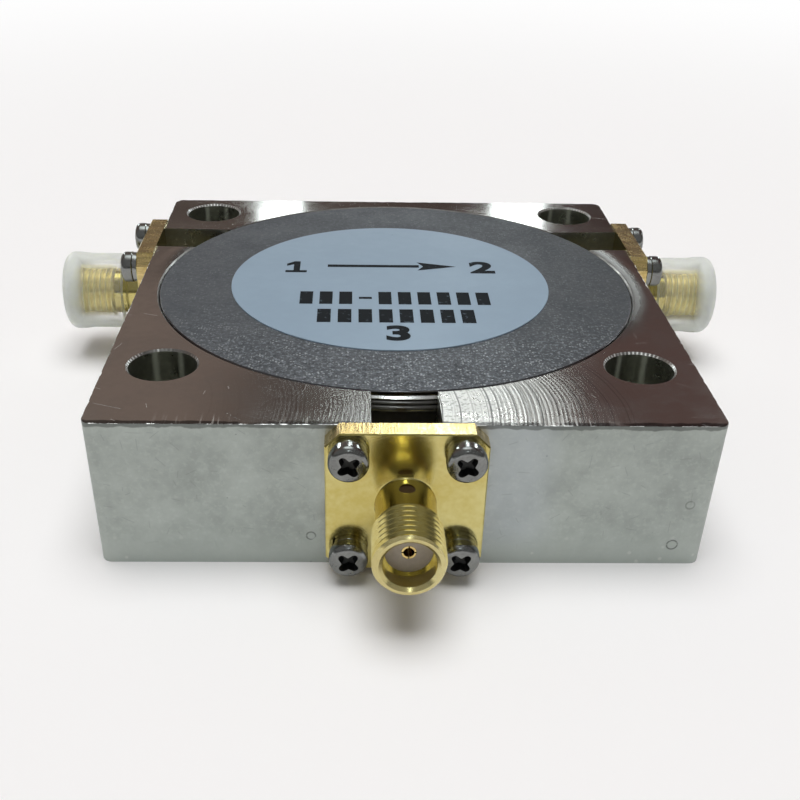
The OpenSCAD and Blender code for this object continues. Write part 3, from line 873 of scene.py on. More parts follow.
def wall(bm, first, second, material=0):
    """Faces between two loops; a loop of one vertex is a pole."""
    count = max(len(first), len(second))
    for k in range(count):
        n = (k + 1) % count
        if len(first) == 1:
            points = (first[0], second[n], second[k])
        elif len(second) == 1:
            points = (first[k], first[n], second[0])
        else:
            points = (first[k], first[n], second[n], second[k])
        bm.faces.new(points).material_index = material


def lathe(bm, profile, count):
    """Turns (radius, height) points about Z; a radius of nought is a pole."""
    loops = [ring(bm, r, h, count) if r > 0 else [bm.verts.new((0, 0, h))] for r, h in profile]
    for first, second in zip(loops, loops[1:]):
        wall(bm, first, second)
    return loops


def arc(centre_r, centre_h, radius, first, last, steps=6):
    """Points of a rounded corner in a profile, between two angles in degrees."""
    points = []
    for k in range(steps + 1):
        a = math.radians(first + (last - first) * k / steps)
        points.append((centre_r + radius * math.cos(a), centre_h + radius * math.sin(a)))
    return points


def outward(bm):
    """Turns every face of a closed shell outwards."""
    bmesh.ops.recalc_face_normals(bm, faces=bm.faces)


def keep_local(mesh):
    """Stores each vertex's own coordinates, before the piece is placed, for turned finishes."""
    store = mesh.attributes.new("turned", "FLOAT_VECTOR", "POINT")
    for vertex, item in zip(mesh.vertices, store.data):
        item.vector = vertex.co


def cad_copy(node):
    """A merged copy of a CAD node's mesh with its flat faces whole."""
    bm = bmesh.new()
    bm.from_mesh(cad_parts[node].data)
    bmesh.ops.remove_doubles(bm, verts=bm.verts, dist=0.0001 * MM)
    bmesh.ops.dissolve_limit(bm, angle_limit=math.radians(0.4), verts=bm.verts, edges=bm.edges)
    return bm


def to_mesh(bm, name):
    mesh = bpy.data.meshes.new(name)
    bm.to_mesh(mesh)
    bm.free()
    return mesh


def part_finishes(mesh):
    """Keeps the shading of one finish from running over into the next."""
    finishes = {}
    for face in mesh.polygons:
        for edge in face.edge_keys:
            finishes.setdefault(edge, set()).add(face.material_index)
    sharp = mesh.attributes.get("sharp_edge") or mesh.attributes.new("sharp_edge", "BOOLEAN", "EDGE")
    for edge, item in zip(mesh.edges, sharp.data):
        if len(finishes.get(edge.key, ())) > 1:
            item.value = True


def add_piece(name, mesh, materials, replaced=()):
    """Links a finished mesh as a piece of the part, with its materials, and hides the CAD nodes that it
    replaces.
    """
    for material in materials:
        mesh.materials.append(material)
    mesh.shade_smooth()
    mesh.set_sharp_from_angle(angle=SHARP_ANGLE)
    part_finishes(mesh)
    mesh.name = name
    piece = bpy.data.objects.new(name, mesh)
    bpy.context.scene.collection.objects.link(piece)
    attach(piece, "root")
    if replaced:
        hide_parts(*replaced)
    return piece


def dress_node(node, material):
    """Gives a CAD node that stays a finish."""
    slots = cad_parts[node].material_slots
    for item in slots:
        item.material = material
    if not slots:
        raise RuntimeError(f"{node} has no material slot")


def scratch_object(name, mesh):
    made = bpy.data.objects.new(name, mesh)
    bpy.context.scene.collection.objects.link(made)
    return made


def baked(obj):
    """The object's mesh with its modifiers applied."""
    graph = bpy.context.evaluated_depsgraph_get()
    graph.update()
    return bpy.data.meshes.new_from_object(obj.evaluated_get(graph), depsgraph=graph)


def discard(*objects):
    for obj in objects:
        bpy.data.objects.remove(obj)


def grow(mesh, tree_name, values):
    """Runs a geometry tree on a mesh and gives back the plain mesh that it makes."""
    tree = bpy.data.node_groups[tree_name]
    obj = scratch_object("growing", mesh)
    modifier = obj.modifiers.new("Grow", "NODES")
    modifier.node_group = tree
    for item in tree.interface.items_tree:
        if item.in_out == "INPUT" and item.name in values:
            modifier[item.identifier] = values[item.name]
    made = baked(obj)
    obj.modifiers.remove(modifier)
    discard(obj)
    return made


def carve(mesh, cutter):
    """One solid less another."""
    body = scratch_object("body", mesh)
    tool = scratch_object("tool", cutter)
    modifier = body.modifiers.new("Carve", "BOOLEAN")
    modifier.operation = "DIFFERENCE"
    modifier.solver = "EXACT"
    modifier.object = tool
    made = baked(body)
    discard(body, tool)
    return made


# Geometry trees

def finished(w, geometry, material):
    """Makes instances real and gives the whole mesh one material."""
    real = w.get("GeometryNodeRealizeInstances", {"Geometry": geometry})
    return w.get("GeometryNodeSetMaterial", {"Geometry": real, "Material": material})


def make_thread_tree():
    """A threaded tube round Z: rows of vertices follow the helix, and its ends are plain circles."""
    w, start, end = new_group("Thread", "GeometryNodeTree",
                              {"Crest Radius": 0.003, "Root Radius": 0.0027, "Start Radius": 0.0027,
                               "End Radius": 0.0026, "Pitch": 0.0007, "Length": 0.005, "Land": 0.0,
                               "Turns": 8, "Around": 96, "Rows per Turn": 10,
                               "Material": MATERIAL}, {"Geometry": GEOMETRY})
    all_turns = start["Turns"] + 1.0
    rows = all_turns * start["Rows per Turn"] + 1.0
    grid = w.get("GeometryNodeMeshGrid",
                 {"Size X": 1.0, "Size Y": 1.0, "Vertices X": start["Around"] + 1.0, "Vertices Y": rows},
                 "Mesh")
    x, y, _ = w.split(w.get("GeometryNodeInputPosition"))
    around = x + 0.5
    turn = (y + 0.5) * all_turns
    free = (turn - around) * start["Pitch"]
    along = w.maths("MINIMUM", w.maths("MAXIMUM", free, 0.0), start["Length"])
    left = start["Length"] - along
    tooth = w.maths("PINGPONG", turn, 0.5) * 2.0
    tooth = ((tooth - 0.12) * (1.0 / 0.76)).clamped()
    depth = start["Crest Radius"] - start["Root Radius"]
    flank = start["Root Radius"] + tooth * depth
    land = w.maths("MAXIMUM", start["Land"], TINY)
    plain = (left < land) * start["Crest Radius"]
    limit = w.maths("MINIMUM", start["Start Radius"] + along, start["End Radius"] + left)
    radius = w.maths("MINIMUM", w.maths("MAXIMUM", flank, plain), limit)
    heading = around * math.tau
    place = w.join(radius * w.maths("COSINE", heading), radius * w.maths("SINE", heading), along)
    bent = w.get("GeometryNodeSetPosition", {"Geometry": grid, "Position": place})
    closed = w.get("GeometryNodeMergeByDistance", {"Geometry": bent, "Distance": TINY})
    w.feed(end["Geometry"], finished(w, closed, start["Material"]))
    return w.tree


def make_bolt_tree():
    """Sets one piece on every point, turned about Z by the point's own turn."""
    w, start, end = new_group("Bolt Circle", "GeometryNodeTree",
                              {"Geometry": GEOMETRY, "Piece": OBJECT, "Lift": 0.0,
                               "Material": MATERIAL, "Recess Material": MATERIAL},
                              {"Geometry": GEOMETRY})
    piece = w.get("GeometryNodeObjectInfo", {"Object": start["Piece"]}, "Geometry")
    turn = w.get("GeometryNodeInputNamedAttribute", {"Name": "turn"}, "Attribute", data_type="FLOAT")
    raised = w.get("GeometryNodeSetPosition",
                   {"Geometry": start["Geometry"], "Offset": w.join(0.0, 0.0, start["Lift"])})
    placed = w.get("GeometryNodeInstanceOnPoints",
                   {"Points": raised, "Instance": piece, "Rotation": w.join(0.0, 0.0, turn)})
    dressed = finished(w, placed, start["Material"])
    cut = w.get("GeometryNodeInputNamedAttribute", {"Name": "recess"}, "Attribute", data_type="BOOLEAN")
    final = w.get("GeometryNodeSetMaterial",
                  {"Geometry": dressed, "Selection": cut, "Material": start["Recess Material"]})
    w.feed(end["Geometry"], final)
    return w.tree


def make_burr_tree():
    """Scatters small chips along a path."""
    w, start, end = new_group("Burrs", "GeometryNodeTree",
                              {"Geometry": GEOMETRY, "Chip": OBJECT,
                               "Spacing": 0.0006, "Smallest": 0.3, "Largest": 1.0, "Scatter": 0.00006,
                               "Seed": 5, "Material": MATERIAL},
                              {"Geometry": GEOMETRY})
    path = w.get("GeometryNodeMeshToCurve", {"Mesh": start["Geometry"]})
    points = w.get("GeometryNodeCurveToPoints", {"Curve": path, "Length": start["Spacing"]}, "Points",
                   mode="LENGTH")

    def random_vector(low, high, seed):
        return w.get("FunctionNodeRandomValue", {"Seed": seed, "Min": low, "Max": high}, "Value",
                     data_type="FLOAT_VECTOR")

    spread, seed = start["Scatter"], start["Seed"]
    smallest, largest = [w.join(size, size, size) for size in (start["Smallest"], start["Largest"])]
    wide = start["Spacing"] * 0.5
    offset = random_vector(w.join(wide * -1.0, spread * -1.0, spread * -1.0),
                           w.join(wide, spread, spread), seed)
    moved = w.get("GeometryNodeSetPosition", {"Geometry": points, "Offset": offset})
    turned = random_vector((0.0, 0.0, 0.0), (math.tau, math.tau, math.tau), seed + 1.0)
    sized = random_vector(smallest, largest, seed + 2.0)
    chip = w.get("GeometryNodeObjectInfo", {"Object": start["Chip"]}, "Geometry")
    placed = w.get("GeometryNodeInstanceOnPoints",
                   {"Points": moved, "Instance": chip, "Rotation": turned, "Scale": sized})
    w.feed(end["Geometry"], finished(w, placed, start["Material"]))
    return w.tree


def make_shared_groups():
    make_clouds_group()
    make_cutter_group()
    make_turned_group()
    make_specks_group()
    make_scratches_group()
    make_hole_group()
    make_spot_ring_group()
    make_thread_tree()
    make_bolt_tree()
    make_burr_tree()


# Studio

def direction(azimuth, elevation):
    """A unit vector; azimuth in degrees from +Y towards +X."""
    a, e = math.radians(azimuth), math.radians(elevation)
    return Vector((math.sin(a) * math.cos(e), math.cos(a) * math.cos(e), math.sin(e)))


CAMERA_PLACE = (-4.792, -112.989, 59.865)
CAMERA_TURN = (55.2645, -0.8094, -0.7888)
CAMERA_LENS = 46.844
CAMERA_SHIFT = (0.035, 0.15)


def add_camera():
    """The photograph's camera, from its place in millimetres and its turn in degrees."""
    data = bpy.data.cameras.new("camera")
    data.sensor_width = 36.0
    data.lens = CAMERA_LENS
    data.shift_x, data.shift_y = CAMERA_SHIFT
    data.clip_start = 0.005
    camera = bpy.data.objects.new("camera", data)
    camera.location = Vector(CAMERA_PLACE) * MM
    camera.rotation_euler = Euler([math.radians(a) for a in CAMERA_TURN])
    bpy.context.scene.collection.objects.link(camera)
    bpy.context.scene.camera = camera


COOL = (0.88, 0.98, 1.0)
WHITE = (1.0, 1.0, 1.0)


def add_lamp(name, azimuth, elevation, distance, size, power, aim=(0.0, 0.0, 15.0), sparkle=True):
    """A round lamp that faces a point of the part, in millimetres; a sparkle lamp only shows in
    reflections, and any other only gives plain light."""
    data = bpy.data.lights.new(name, "AREA")
    data.shape = "DISK"
    data.size = size
    data.energy = power
    data.color = COOL if sparkle else WHITE
    lamp = bpy.data.objects.new(name, data)
    heading = direction(azimuth, elevation)
    lamp.location = Vector(aim) * MM + heading * distance
    lamp.rotation_euler = heading.to_track_quat("Z", "Y").to_euler()
    lamp.visible_camera = False
    lamp.visible_diffuse = not sparkle
    lamp.visible_glossy = sparkle
    bpy.context.scene.collection.objects.link(lamp)


# Elevations, in degrees, between which the cards reach their full strength
CARD_FADE = (18, 23)


def show(w, surface):
    """Joins a surface to its material's output."""
    output = next(n for n in w.tree.nodes if n.bl_idname == "ShaderNodeOutputMaterial")
    w.tree.links.new(surface.outputs[0], output.inputs[0])


def seen_ray(w):
    """Whether a ray comes from the camera or by way of a mirror or clear body; plain light doesn't."""
    rays = w.node("ShaderNodeLightPath").outputs
    indirect = w.maths("MAXIMUM", rays["Is Glossy Ray"], rays["Is Transmission Ray"])
    return w.maths("MAXIMUM", rays["Is Camera Ray"], indirect)


def add_floor(settings):
    """A level floor that turns plain white away from the part, for rays that are seen."""
    bm = bmesh.new()
    lathe(bm, [(0, 0), (0.2, 0), (settings.floor_radius, 0)], 96)
    bmesh.ops.reverse_faces(bm, faces=[f for f in bm.faces if f.normal.z < 0])
    floor = scratch_object("floor", to_mesh(bm, "floor"))
    material, w, shader = new_material("floor_paint")
    w.fill(shader, Base_Color=settings.floor_colour, Roughness=0.85)
    far = w.smooth(w.vector("LENGTH", w.place()), 0.07, 0.35)
    white = w.node("ShaderNodeEmission", {"Color": WHITE, "Strength": 1.0})
    both = w.node("ShaderNodeMixShader", {0: far * seen_ray(w)})
    w.tree.links.new(shader.outputs[0], both.inputs[1])
    w.tree.links.new(white.outputs[0], both.inputs[2])
    show(w, both)
    floor.data.materials.append(material)


def add_cards(settings):
    """Dark cards all round, above the view, that give the bright metal something dark to show."""
    bm = bmesh.new()
    radius = settings.card_radius
    rise = [math.tan(elevation) for elevation in (settings.card_low, settings.card_high)]
    lathe(bm, [(radius, radius * rise[0]), (radius, radius * rise[1])], 72)
    cards = scratch_object("dark_cards", to_mesh(bm, "dark_cards"))
    cards.visible_camera = False
    material, w, _ = new_material("card_paint")
    x, y, z = w.split(w.place())
    behind = w.mix(w.smooth(x, -0.3, 0.35), settings.left_card, settings.right_card)
    tone = w.mix(w.smooth(y, 0.35, -0.25), behind, settings.front_card)
    dim, full = [math.tan(math.radians(elevation)) * radius for elevation in CARD_FADE]
    show(w, w.node("ShaderNodeEmission", {"Color": tone, "Strength": w.smooth(z, dim, full, 0.4, 1.0)}))
    cards.data.materials.append(material)


def add_world(settings):
    """A white room that lights the part less strongly than it shows in it."""
    world = bpy.data.worlds.new("room")
    world.use_nodes = True
    w = Wiring(world.node_tree)
    world.node_tree.nodes.clear()
    strength = w.smooth(seen_ray(w), 0.0, 1.0, settings.ambient, 1.0)
    light = w.node("ShaderNodeBackground", {"Color": WHITE, "Strength": strength})
    output = w.node("ShaderNodeOutputWorld")
    w.tree.links.new(light.outputs[0], output.inputs[0])
    bpy.context.scene.world = world


LAMPS = (
    # name, azimuth, elevation, distance, size, power, point that it is aimed at
    ("lamp_left", -28.0, 21.0, 0.85, 0.09, 0.66, (0.0, -42.0, 11.0)),
    ("lamp_right", 29.5, 21.0, 0.85, 0.08, 0.48, (0.0, -42.0, 11.0)),
    ("lamp_crest", 3.9, 36.5, 0.85, 0.08, 0.40, (0.0, -42.0, 11.0)),
    ("lamp_middle", 7.0, 29.0, 0.85, 0.095, 0.16, (2.0, -31.0, 15.0)),
    ("lamp_rear_left", -4.0, 18.3, 0.88, 0.04, 0.038, (-14.4, 22.3, 15.0)),
    ("lamp_rear_right", 9.1, 18.2, 0.88, 0.045, 0.065, (16.2, 21.8, 15.0)),
    ("lamp_far_right", 60.0, 20.0, 0.85, 0.06, 0.12, (0.0, 0.0, 15.0)),
    ("lamp_front", 179.5, 48.6, 0.85, 0.10, 0.28, (0.0, -27.4, 14.4)),
    ("lamp_above", 0.0, 74.0, 1.0, 0.70, 2.8, (0.0, 0.0, 10.0)),
)


class CIRCULATOR_OT_studio(bpy.types.Operator):
    """Set up the camera, floor, dark cards, lamps and room light"""
    bl_idname = "circulator.studio"
    bl_label = "Studio"
    bl_options = {"REGISTER", "UNDO"}

    def execute(self, context):
        settings = context.scene.circulator.studio
        context.scene.view_settings.view_transform = "Standard"
        add_camera()
        add_floor(settings)
        add_cards(settings)
        add_world(settings)
        for lamp in LAMPS:
            add_lamp(*lamp)
        add_lamp("soft_box", 0.0, 90.0, 1.05, 0.9, 9.4, sparkle=False)
        return {"FINISHED"}


# Block

def top_outline(bm):
    """Edges between the top face and what falls away from it."""
    found = []
    for edge in bm.edges:
        if len(edge.link_faces) == 2 and all(abs(v.co.z - TOP_Z) < TINY for v in edge.verts):
            if edge.calc_face_angle(0) > math.radians(30):
                found.append(edge)
    return found


def outer(vertex):
    """Whether a vertex lies on the block's outer sides."""
    near = 1.3 * MM
    return (vertex.co.x < BLOCK_LOW.x + near or vertex.co.x > BLOCK_HIGH.x - near
            or vertex.co.y < BLOCK_LOW.y + near or vertex.co.y > BLOCK_HIGH.y - near)


def nick(settings, vertex):
    """Moves a vertex of the broken top edge by a little, in the plane that it lies in."""
    wave = noise.noise(vertex.co / (0.7 * MM)) + 0.6 * noise.noise(vertex.co / (0.25 * MM))
    bite = max(0.0, wave) * settings.nick_depth
    inward = Vector((-vertex.co.x, BORE_Y - vertex.co.y, 0)).normalized()
    if abs(vertex.co.z - TOP_Z) < TINY:
        vertex.co += inward * bite
    else:
        vertex.co.z -= bite * 0.4


def tighten_bore_edge(bm, settings):
    """Draws the bore's chamfer in to the width that shows round the cover."""
    bore = COVER_RADIUS + 0.1 * MM
    for vertex in bm.verts:
        across = Vector((vertex.co.x, vertex.co.y - BORE_Y))
        beyond = across.length - bore
        if vertex.co.z > TOP_Z - 1.0 * MM and -0.01 * MM < beyond < 0.7 * MM:
            if vertex.co.z > TOP_Z - 0.01 * MM:
                across *= (bore + settings.bore_chamfer) / across.length
                vertex.co.x, vertex.co.y = across.x, across.y + BORE_Y
            else:
                vertex.co.z = TOP_Z - settings.bore_chamfer


TOP, SIDE, BORE, EDGE, CHAMFER = range(5)


def break_edges(bm, edges, width, segments):
    """Bevels edges with the edge finish."""
    return bmesh.ops.bevel(bm, geom=edges, offset=width, offset_type="OFFSET", segments=segments,
                           profile=0.5, affect="EDGES", clamp_overlap=True, material=EDGE)


def outer_rim(bm):
    """The edges of the top that lie on the block's outer sides."""
    return [e for e in top_outline(bm) if outer(e.verts[0]) and outer(e.verts[1])]


def block_mesh(settings):
    """The block with broken, nicked edges; its faces are sorted by finish."""
    bm = cad_copy("housing")
    tighten_bore_edge(bm, settings)
    for edge in outer_rim(bm):
        cuts = int(edge.calc_length() / settings.edge_step)
        if cuts:
            bmesh.ops.subdivide_edges(bm, edges=[edge], cuts=cuts)
    for face in bm.faces:
        middle = face.calc_center_median()
        upright = abs(face.normal.z) < 0.5
        on_side = (abs(abs(middle.x) - BLOCK_HIGH.x) < 0.4 * MM or abs(middle.y - BLOCK_LOW.y) < 0.4 * MM
                   or abs(middle.y - BLOCK_HIGH.y) < 0.4 * MM)
        if face.normal.z > 0.99 and abs(middle.z - TOP_Z) < 0.01 * MM:
            face.material_index = TOP
        elif face.normal.z < -0.99 and abs(middle.z) < 0.01 * MM or upright and on_side:
            face.material_index = SIDE
        elif face.normal.z > 0.2 and middle.z > TOP_Z - 0.7 * MM:
            face.material_index = CHAMFER
        else:
            face.material_index = BORE
    for vertex in break_edges(bm, outer_rim(bm), settings.edge_break, 2)["verts"]:
        nick(settings, vertex)
    sharp = [e for e in bm.edges if len(e.link_faces) == 2 and e.calc_face_angle(0) > math.radians(40)
             and not {EDGE, CHAMFER} & {f.material_index for f in e.link_faces}]
    break_edges(bm, sharp, settings.inner_break, 1)
    bmesh.ops.triangulate(bm, faces=[f for f in bm.faces if len(f.verts) > 4])
    return to_mesh(bm, "block")


def chip_object():
    """One small irregular chip of metal."""
    bm = bmesh.new()
    bmesh.ops.create_icosphere(bm, subdivisions=1, radius=0.07 * MM)
    for vertex in bm.verts:
        vertex.co *= 0.6 + 0.5 * noise.noise(vertex.co / (0.05 * MM))
    return scratch_object("chip", to_mesh(bm, "chip"))


def burr_path():
    """A line along the block's front top edge."""
    bm = bmesh.new()
    inset = 1.0 * MM
    y, z = FRONT_Y + 0.07 * MM, TOP_Z - 0.05 * MM
    ends = [bm.verts.new((x, y, z)) for x in (BLOCK_LOW.x + inset, BLOCK_HIGH.x - inset)]
    bm.edges.new(ends)
    return to_mesh(bm, "burr_path")


class CIRCULATOR_OT_block(bpy.types.Operator):
    """Dress the milled block: broken edges, nicks, burrs and its five nickel finishes"""
    bl_idname = "circulator.block"
    bl_label = "Block"
    bl_options = {"REGISTER", "UNDO"}

    def execute(self, context):
        settings = context.scene.circulator.block
        edge = edge_nickel(settings)
        finishes = [milled_nickel(settings), satin_nickel(settings), bored_nickel(settings), edge,
                    chamfer_nickel(settings)]
        add_piece("block", block_mesh(settings), finishes, ["housing"])
        chip = chip_object()
        burrs = grow(burr_path(), "Burrs",
                     {"Chip": chip, "Spacing": 0.55 * MM, "Smallest": 0.25, "Largest": 1.0,
                      "Scatter": 0.06 * MM, "Seed": 11, "Material": edge})
        discard(chip)
        add_piece("block_burrs", burrs, [])
        return {"FINISHED"}


# Cover

RUN_IN_SLOPE = 0.79


def cover_mesh(settings):
    """The cover: a run-in groove and a fine thread round its rim, closed above and below."""
    height = COVER_HIGH.z - COVER_LOW.z
    turns = math.ceil(height / settings.thread_pitch)
    tube = grow(bpy.data.meshes.new("rim"), "Thread",
                {"Crest Radius": COVER_RADIUS, "Root Radius": COVER_RADIUS - settings.thread_depth,
                 "Start Radius": COVER_RADIUS - settings.thread_depth,
                 "End Radius": COVER_RADIUS - settings.edge_break, "Pitch": settings.thread_pitch,
                 "Length": height, "Land": settings.land, "Turns": turns, "Around": 216, "Rows per Turn": 8,
                 "Material": None})
    bm = bmesh.new()
    bm.from_mesh(tube)
    top, low = height - settings.land, height - settings.land - settings.run_in
    for vertex in bm.verts:
        if low < vertex.co.z < top:
            sunk = (vertex.co.z - low) * RUN_IN_SLOPE
            vertex.co.xy *= (COVER_RADIUS - sunk) / vertex.co.xy.length
    for face in bm.faces:
        face.material_index = 1
    for level in (0.0, height):
        rim = [e for e in bm.edges if e.is_boundary and abs(e.verts[0].co.z - level) < TINY]
        made = bmesh.ops.edgeloop_fill(bm, edges=rim)
        for face in made["faces"]:
            face.material_index = 0
    outward(bm)
    bm.transform(Matrix.Translation((0, BORE_Y, COVER_LOW.z)))
    return to_mesh(bm, "cover_plate")


class CIRCULATOR_OT_cover(bpy.types.Operator):
    """Make the dark cover with the fine thread round its rim"""
    bl_idname = "circulator.cover"
    bl_label = "Cover"
    bl_options = {"REGISTER", "UNDO"}

    def execute(self, context):
        settings = context.scene.circulator.cover
        add_piece("cover_plate", cover_mesh(settings), [dark_plate(settings), rim_steel()],
                  ["cover"])
        return {"FINISHED"}


# Label

def bar(bm, x, y, width, height):
    """One flat rectangle, centred on a point."""
    signs = ((-1, -1), (1, -1), (1, 1), (-1, 1))
    bm.faces.new([bm.verts.new((x + width / 2 * i, y + height / 2 * j, 0)) for i, j in signs])


# A numeral's font size, thickening and width, against its height
FONT_SIZE, FONT_WEIGHT, FONT_WIDTH = 1.38, 0.06, 1.18


def numeral(text, x, y, height):
    """A numeral as a flat mesh, its middle at a point."""
    curve = bpy.data.curves.new("numeral", "FONT")
    curve.body = text
    curve.align_x = "CENTER"
    curve.align_y = "CENTER"
    curve.size = height * FONT_SIZE
    curve.offset = height * FONT_WEIGHT
    obj = scratch_object("numeral", curve)
    mesh = baked(obj)
    discard(obj)
    mesh.transform(Matrix.Translation((x, y, 0)) @ Matrix.Diagonal((FONT_WIDTH, 1.0, 1.0, 1.0)))
    return mesh


# The print, in millimetres in the part's frame; the numeral one is drawn as an outline
NUMERALS = (("2", 10.2, 3.0), ("3", -0.1, -15.2))
ONE_PLACE, ONE_WIDTH = (-11.3, 3.0), 0.72
ONE_OUTLINE = ((-0.5, -0.5), (0.5, -0.5), (0.5, -0.32), (0.17, -0.32), (0.17, 0.5), (-0.1, 0.5),
               (-0.46, 0.28), (-0.46, 0.08), (-0.13, 0.22), (-0.13, -0.32), (-0.5, -0.32))
ARROW_Y = 3.4
ARROW_SHAFT = (-2.4, 10.6, 0.75)
ARROW_HEAD = ((2.7, -1.25), (7.2, 0.0), (2.7, 1.25), (3.4, 0.0))
# Rows of bars: count, left end, right end, Y, and which bar is only a dash
BAR_ROWS = ((10, -10.9, 10.5, -6.0, 3), (8, -8.9, 8.5, -10.75, None))
BAR_SHARE, DASH_SHARE = 0.66, 0.16


def print_mesh(settings):
    """The label's print: three port numerals, an arrow and two rows of plain bars."""
    bm = bmesh.new()
    tall = settings.row_height
    for text, x, y in NUMERALS:
        bm.from_mesh(numeral(text, x * MM, y * MM, tall))
    left, low = ONE_PLACE
    one = [(left * MM + px * tall * ONE_WIDTH, low * MM + py * tall, 0) for px, py in ONE_OUTLINE]
    bm.faces.new([bm.verts.new(point) for point in one])
    middle, reach, thick = ARROW_SHAFT
    arrow_y = ARROW_Y * MM
    bar(bm, middle * MM, arrow_y, reach * MM, thick * MM)
    bm.faces.new([bm.verts.new((px * MM, arrow_y + py * MM, 0)) for px, py in ARROW_HEAD])
    for count, first, last, y, dash in BAR_ROWS:
        step = (last - first) / count
        for k in range(count):
            height = tall * (DASH_SHARE if k == dash else 1.0)
            bar(bm, (first + step * (k + 0.5)) * MM, y * MM, step * BAR_SHARE * MM, height)
    bmesh.ops.remove_doubles(bm, verts=bm.verts, dist=TINY)
    for face in bm.faces:
        if face.normal.z < 0:
            face.normal_flip()
    raised = bmesh.ops.extrude_face_region(bm, geom=list(bm.faces))
    moved = [v for v in raised["geom"] if isinstance(v, bmesh.types.BMVert)]
    bmesh.ops.translate(bm, verts=moved, vec=(0, 0, settings.ink_height))
    outward(bm)
    bm.transform(Matrix.Translation((0, 0, LABEL_HIGH.z)))
    return to_mesh(bm, "label_print")


def film_mesh():
    """The label's film with a softly rounded edge."""
    thick = LABEL_HIGH.z - LABEL_LOW.z
    soft = thick * 0.4
    profile = [(0, 0), (LABEL_RADIUS, 0)]
    profile += arc(LABEL_RADIUS - soft, thick - soft, soft, 0, 90, 4)
    profile += [(0, thick)]
    bm = bmesh.new()
    lathe(bm, profile, 160)
    outward(bm)
    bm.transform(Matrix.Translation((LABEL_X, BORE_Y, LABEL_LOW.z)))
    return to_mesh(bm, "label_film")


class CIRCULATOR_OT_label(bpy.types.Operator):
    """Make the round label and its generic print"""
    bl_idname = "circulator.label"
    bl_label = "Label"
    bl_options = {"REGISTER", "UNDO"}

    def execute(self, context):
        settings = context.scene.circulator.label
        add_piece("label_film", film_mesh(), [label_film(settings)], ["label"])
        add_piece("label_print", print_mesh(settings), [label_ink(settings)])
        return {"FINISHED"}


# Jacks

def bolt_places(settings):
    """The middles of the four screws of a flange."""
    reach = settings.bolt_pitch / 2
    return [(-reach, -reach, 0), (reach, -reach, 0), (reach, reach, 0), (-reach, reach, 0)]


def flange_loop(bm, half, cut, height):
    """The flange's outline: a square with cut corners."""
    inner = half - cut
    points = [(half, -inner), (half, inner), (inner, half), (-inner, half),
              (-half, inner), (-half, -inner), (-inner, -half), (inner, -half)]
    return [bm.verts.new((x, y, height)) for x, y in points]


def loop_edges(bm, loop):
    found = []
    for first, second in zip(loop, loop[1:] + loop[:1]):
        edge = bm.edges.get((first, second))
        found.append(edge or bm.edges.new((first, second)))
    return found


PLATED, MILLED, IN_CAP = range(3)
CAP_STANDOFF = 2.8 * MM
AROUND = 96


def barrel_mesh(settings):
    """The threaded barrel, from the end of the neck to the tip."""
    long = JACK_LENGTH - settings.thread_start
    tube = grow(bpy.data.meshes.new("barrel"), "Thread",
                {"Crest Radius": settings.crest_radius, "Root Radius": settings.neck_radius,
                 "Start Radius": settings.neck_radius, "End Radius": settings.tip_radius,
                 "Pitch": settings.pitch, "Length": long, "Land": 0.0,
                 "Turns": math.ceil(long / settings.pitch), "Around": AROUND, "Rows per Turn": 10,
                 "Material": None})
    tube.transform(Matrix.Translation((0, 0, settings.thread_start)))
    return tube


def lock_hole_cutter(settings):
    """The upright pin that cuts the epoxy hole into the top of the neck."""
    bm = bmesh.new()
    deep, high = settings.neck_radius - 0.5 * MM, settings.neck_radius + 0.5 * MM
    radius = settings.lock_hole_radius
    lathe(bm, [(0, deep), (radius, deep), (radius, high), (0, high)], 32)
    outward(bm)
    lying = Matrix.Rotation(-math.pi / 2, 4, "X")
    bm.transform(Matrix.Translation((0, 0, settings.lock_hole_place)) @ lying)
    return to_mesh(bm, "lock_hole")


def jack_mesh(settings):
    """A jack in its own frame: flange with four holes, neck, threaded barrel, counterbore and bore."""
    half = (JACK_HIGH.x - JACK_LOW.x) / 2
    tip = JACK_LENGTH
    plate = settings.flange_thickness
    soft = settings.flange_break
    bm = bmesh.new()
    bm.from_mesh(barrel_mesh(settings))
    fillet = settings.root_fillet
    curve = arc(settings.neck_radius + fillet, plate + fillet, fillet, 270, 180, 4)
    neck = lathe(bm, curve + [(settings.neck_radius, settings.thread_start)], AROUND)[0]
    mouth = settings.counterbore_radius
    floor = tip - settings.counterbore_depth
    inside = lathe(bm, [(settings.tip_radius, tip), (mouth + settings.lip_break, tip),
                        (mouth, tip - settings.lip_break), (mouth, floor),
                        (settings.bore_radius, floor), (settings.bore_radius, 0)], AROUND)
    shrink = soft * (2 - math.sqrt(2))
    back = flange_loop(bm, half, settings.flange_cut, 0)
    edge = flange_loop(bm, half, settings.flange_cut, plate - soft)
    front = flange_loop(bm, half - soft, settings.flange_cut - shrink, plate)
    wall(bm, back, edge, MILLED)
    wall(bm, edge, front)
    front_edges = loop_edges(bm, front) + loop_edges(bm, neck)
    back_edges = loop_edges(bm, back) + loop_edges(bm, inside[-1])
    for place in bolt_places(settings):
        low = ring(bm, settings.bolt_hole_radius, 0, 24)
        high = ring(bm, settings.bolt_hole_radius, plate, 24)
        bmesh.ops.translate(bm, verts=low + high, vec=place)
        wall(bm, low, high)
        front_edges += loop_edges(bm, high)
        back_edges += loop_edges(bm, low)
    bmesh.ops.triangle_fill(bm, edges=front_edges, use_beauty=True, use_dissolve=False)
    bmesh.ops.triangle_fill(bm, edges=back_edges, use_beauty=True, use_dissolve=False)
    bmesh.ops.remove_doubles(bm, verts=bm.verts, dist=TINY)
    outward(bm)
    carved = carve(to_mesh(bm, "jack"), lock_hole_cutter(settings))
    keep_local(carved)
    return carved


